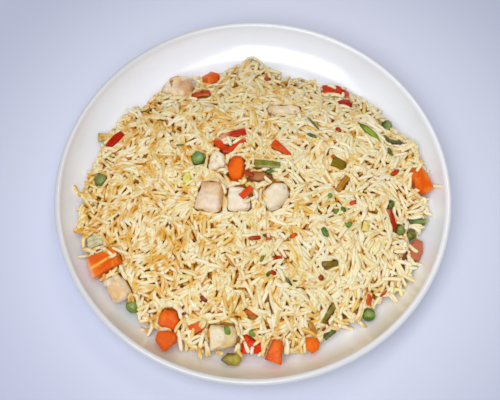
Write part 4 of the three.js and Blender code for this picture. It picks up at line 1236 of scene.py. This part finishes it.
def core_mesh():
    """The core: a dome under the loose grains, closed below along the plate."""
    angles = angles_round(CORE_SIDES)
    edge = heap_radius(angles) * CORE_EDGE - 0.7 * grains_inside(angles)
    under = covered[cell_of(edge * np.sin(angles)), cell_of(edge * np.cos(angles))]
    under = np.mean([np.roll(under, turn) for turn in range(-2, 3)], 0)
    outline = edge * (1 - CORE_TUCK * under)
    shares = (np.arange(CORE_RINGS) + 1) / CORE_RINGS
    radius = shares[:, None] * outline
    x, y = radius * np.cos(angles), radius * np.sin(angles)
    top = np.stack([x, y, core_height(x, y)], -1)
    low_shares = np.array([1.0, 0.93, 0.8])
    low_radius = low_shares[:, None] * outline
    low_x, low_y = low_radius * np.cos(angles), low_radius * np.sin(angles)
    low = np.stack([low_x, low_y, plate_top(low_radius) + 0.12], -1)
    rings = np.concatenate([top, low])
    peak = [0, 0, core_height(np.zeros(1), np.zeros(1))[0]]
    points = np.concatenate([rings.reshape(-1, 3), [peak, [0, 0, FLOOR_TOP + 0.12]]])
    faces = [np.roll(group[:, ::-1], 1, 1) for group in tube_faces(len(rings), CORE_SIDES)]
    # The core shows only in the gaps between the grains, so its tan and gold are partly painted shade
    patch = noise(points, 3.0, 14)
    colours = mix(RICE_TAN, GAP_SHADE_GOLD, smooth(-0.6, 0.6, patch))
    return mesh_from("rice_core", points, faces, colours)


core = core_mesh()
core.data.materials.append(MATERIALS["rice"])
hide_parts("rice")
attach(core, "root")

# The stage: its floor, the light and the camera

floor = mesh_from("table", [(-3000, -3000, 0), (3000, -3000, 0), (3000, 3000, 0),
                            (-3000, 3000, 0)], [np.array([[0, 1, 2, 3]])])
stage_looks = Shading("pale_table")
stage_place = stage_looks.add("TexCoord", "Object")
light_pool_shift = tuple(-MM * part for part in LIGHT_POOL_MIDDLE)
away = stage_looks.add("VectorMath", "Vector", {0: stage_place, 1: light_pool_shift})
from_middle = stage_looks.add("VectorMath", "Value", {0: away}, operation="LENGTH")
# The floor's tone is a painted pool of light round a place near the plate, darker past it as painted
# shade
darker = stage_looks.spread(from_middle, LIGHT_POOL_RADII[0] * MM, LIGHT_POOL_RADII[1] * MM)
stage_tone = stage_looks.blend(darker, (*linear(STAGE_PALE), 1), STAGE_SHADED)
floor.data.materials.append(
    stage_looks.dress(Base_Color=stage_tone, Roughness=0.8, Specular_IOR_Level=0.2))

world = bpy.data.worlds.new("studio")
world.use_nodes = True
background = world.node_tree.nodes["Background"]
background.inputs["Color"].default_value = (1.0, 0.955, 0.88, 1)
background.inputs["Strength"].default_value = 0.36
bpy.context.scene.world = world


def area_light(name, place, size, power, colour=(1, 1, 1)):
    """A square soft light that faces the plate. Its place and size are in millimetres."""
    light = bpy.data.lights.new(name, "AREA")
    light.shape = "SQUARE"
    light.size = size * MM
    light.energy = power
    light.color = colour
    lamp = new_object(name, light)
    lamp.location = Vector(place) * MM
    lamp.rotation_euler = (-lamp.location).to_track_quat("-Z", "Y").to_euler()


area_light("key", (-190, -490, 1120), 1000, 12.0, (0.908, 0.946, 1.0))
area_light("fill", (260, 600, 1300), 420, 2.3, (1.0, 0.95, 0.9))

CAMERA_PLACE = (-2.024, -273.220, 629.705)
CAMERA_TARGET = (-2.024, -8.810, 28.0)
camera_data = bpy.data.cameras.new("camera")
camera_data.lens = 70
camera_data.sensor_width = 36
camera = new_object("camera", camera_data)
camera.location = Vector(CAMERA_PLACE) * MM
aim = Vector(CAMERA_TARGET) - Vector(CAMERA_PLACE)
camera.rotation_euler = aim.to_track_quat("-Z", "Y").to_euler()
bpy.context.scene.camera = camera
bpy.context.scene.view_settings.view_transform = "Standard"
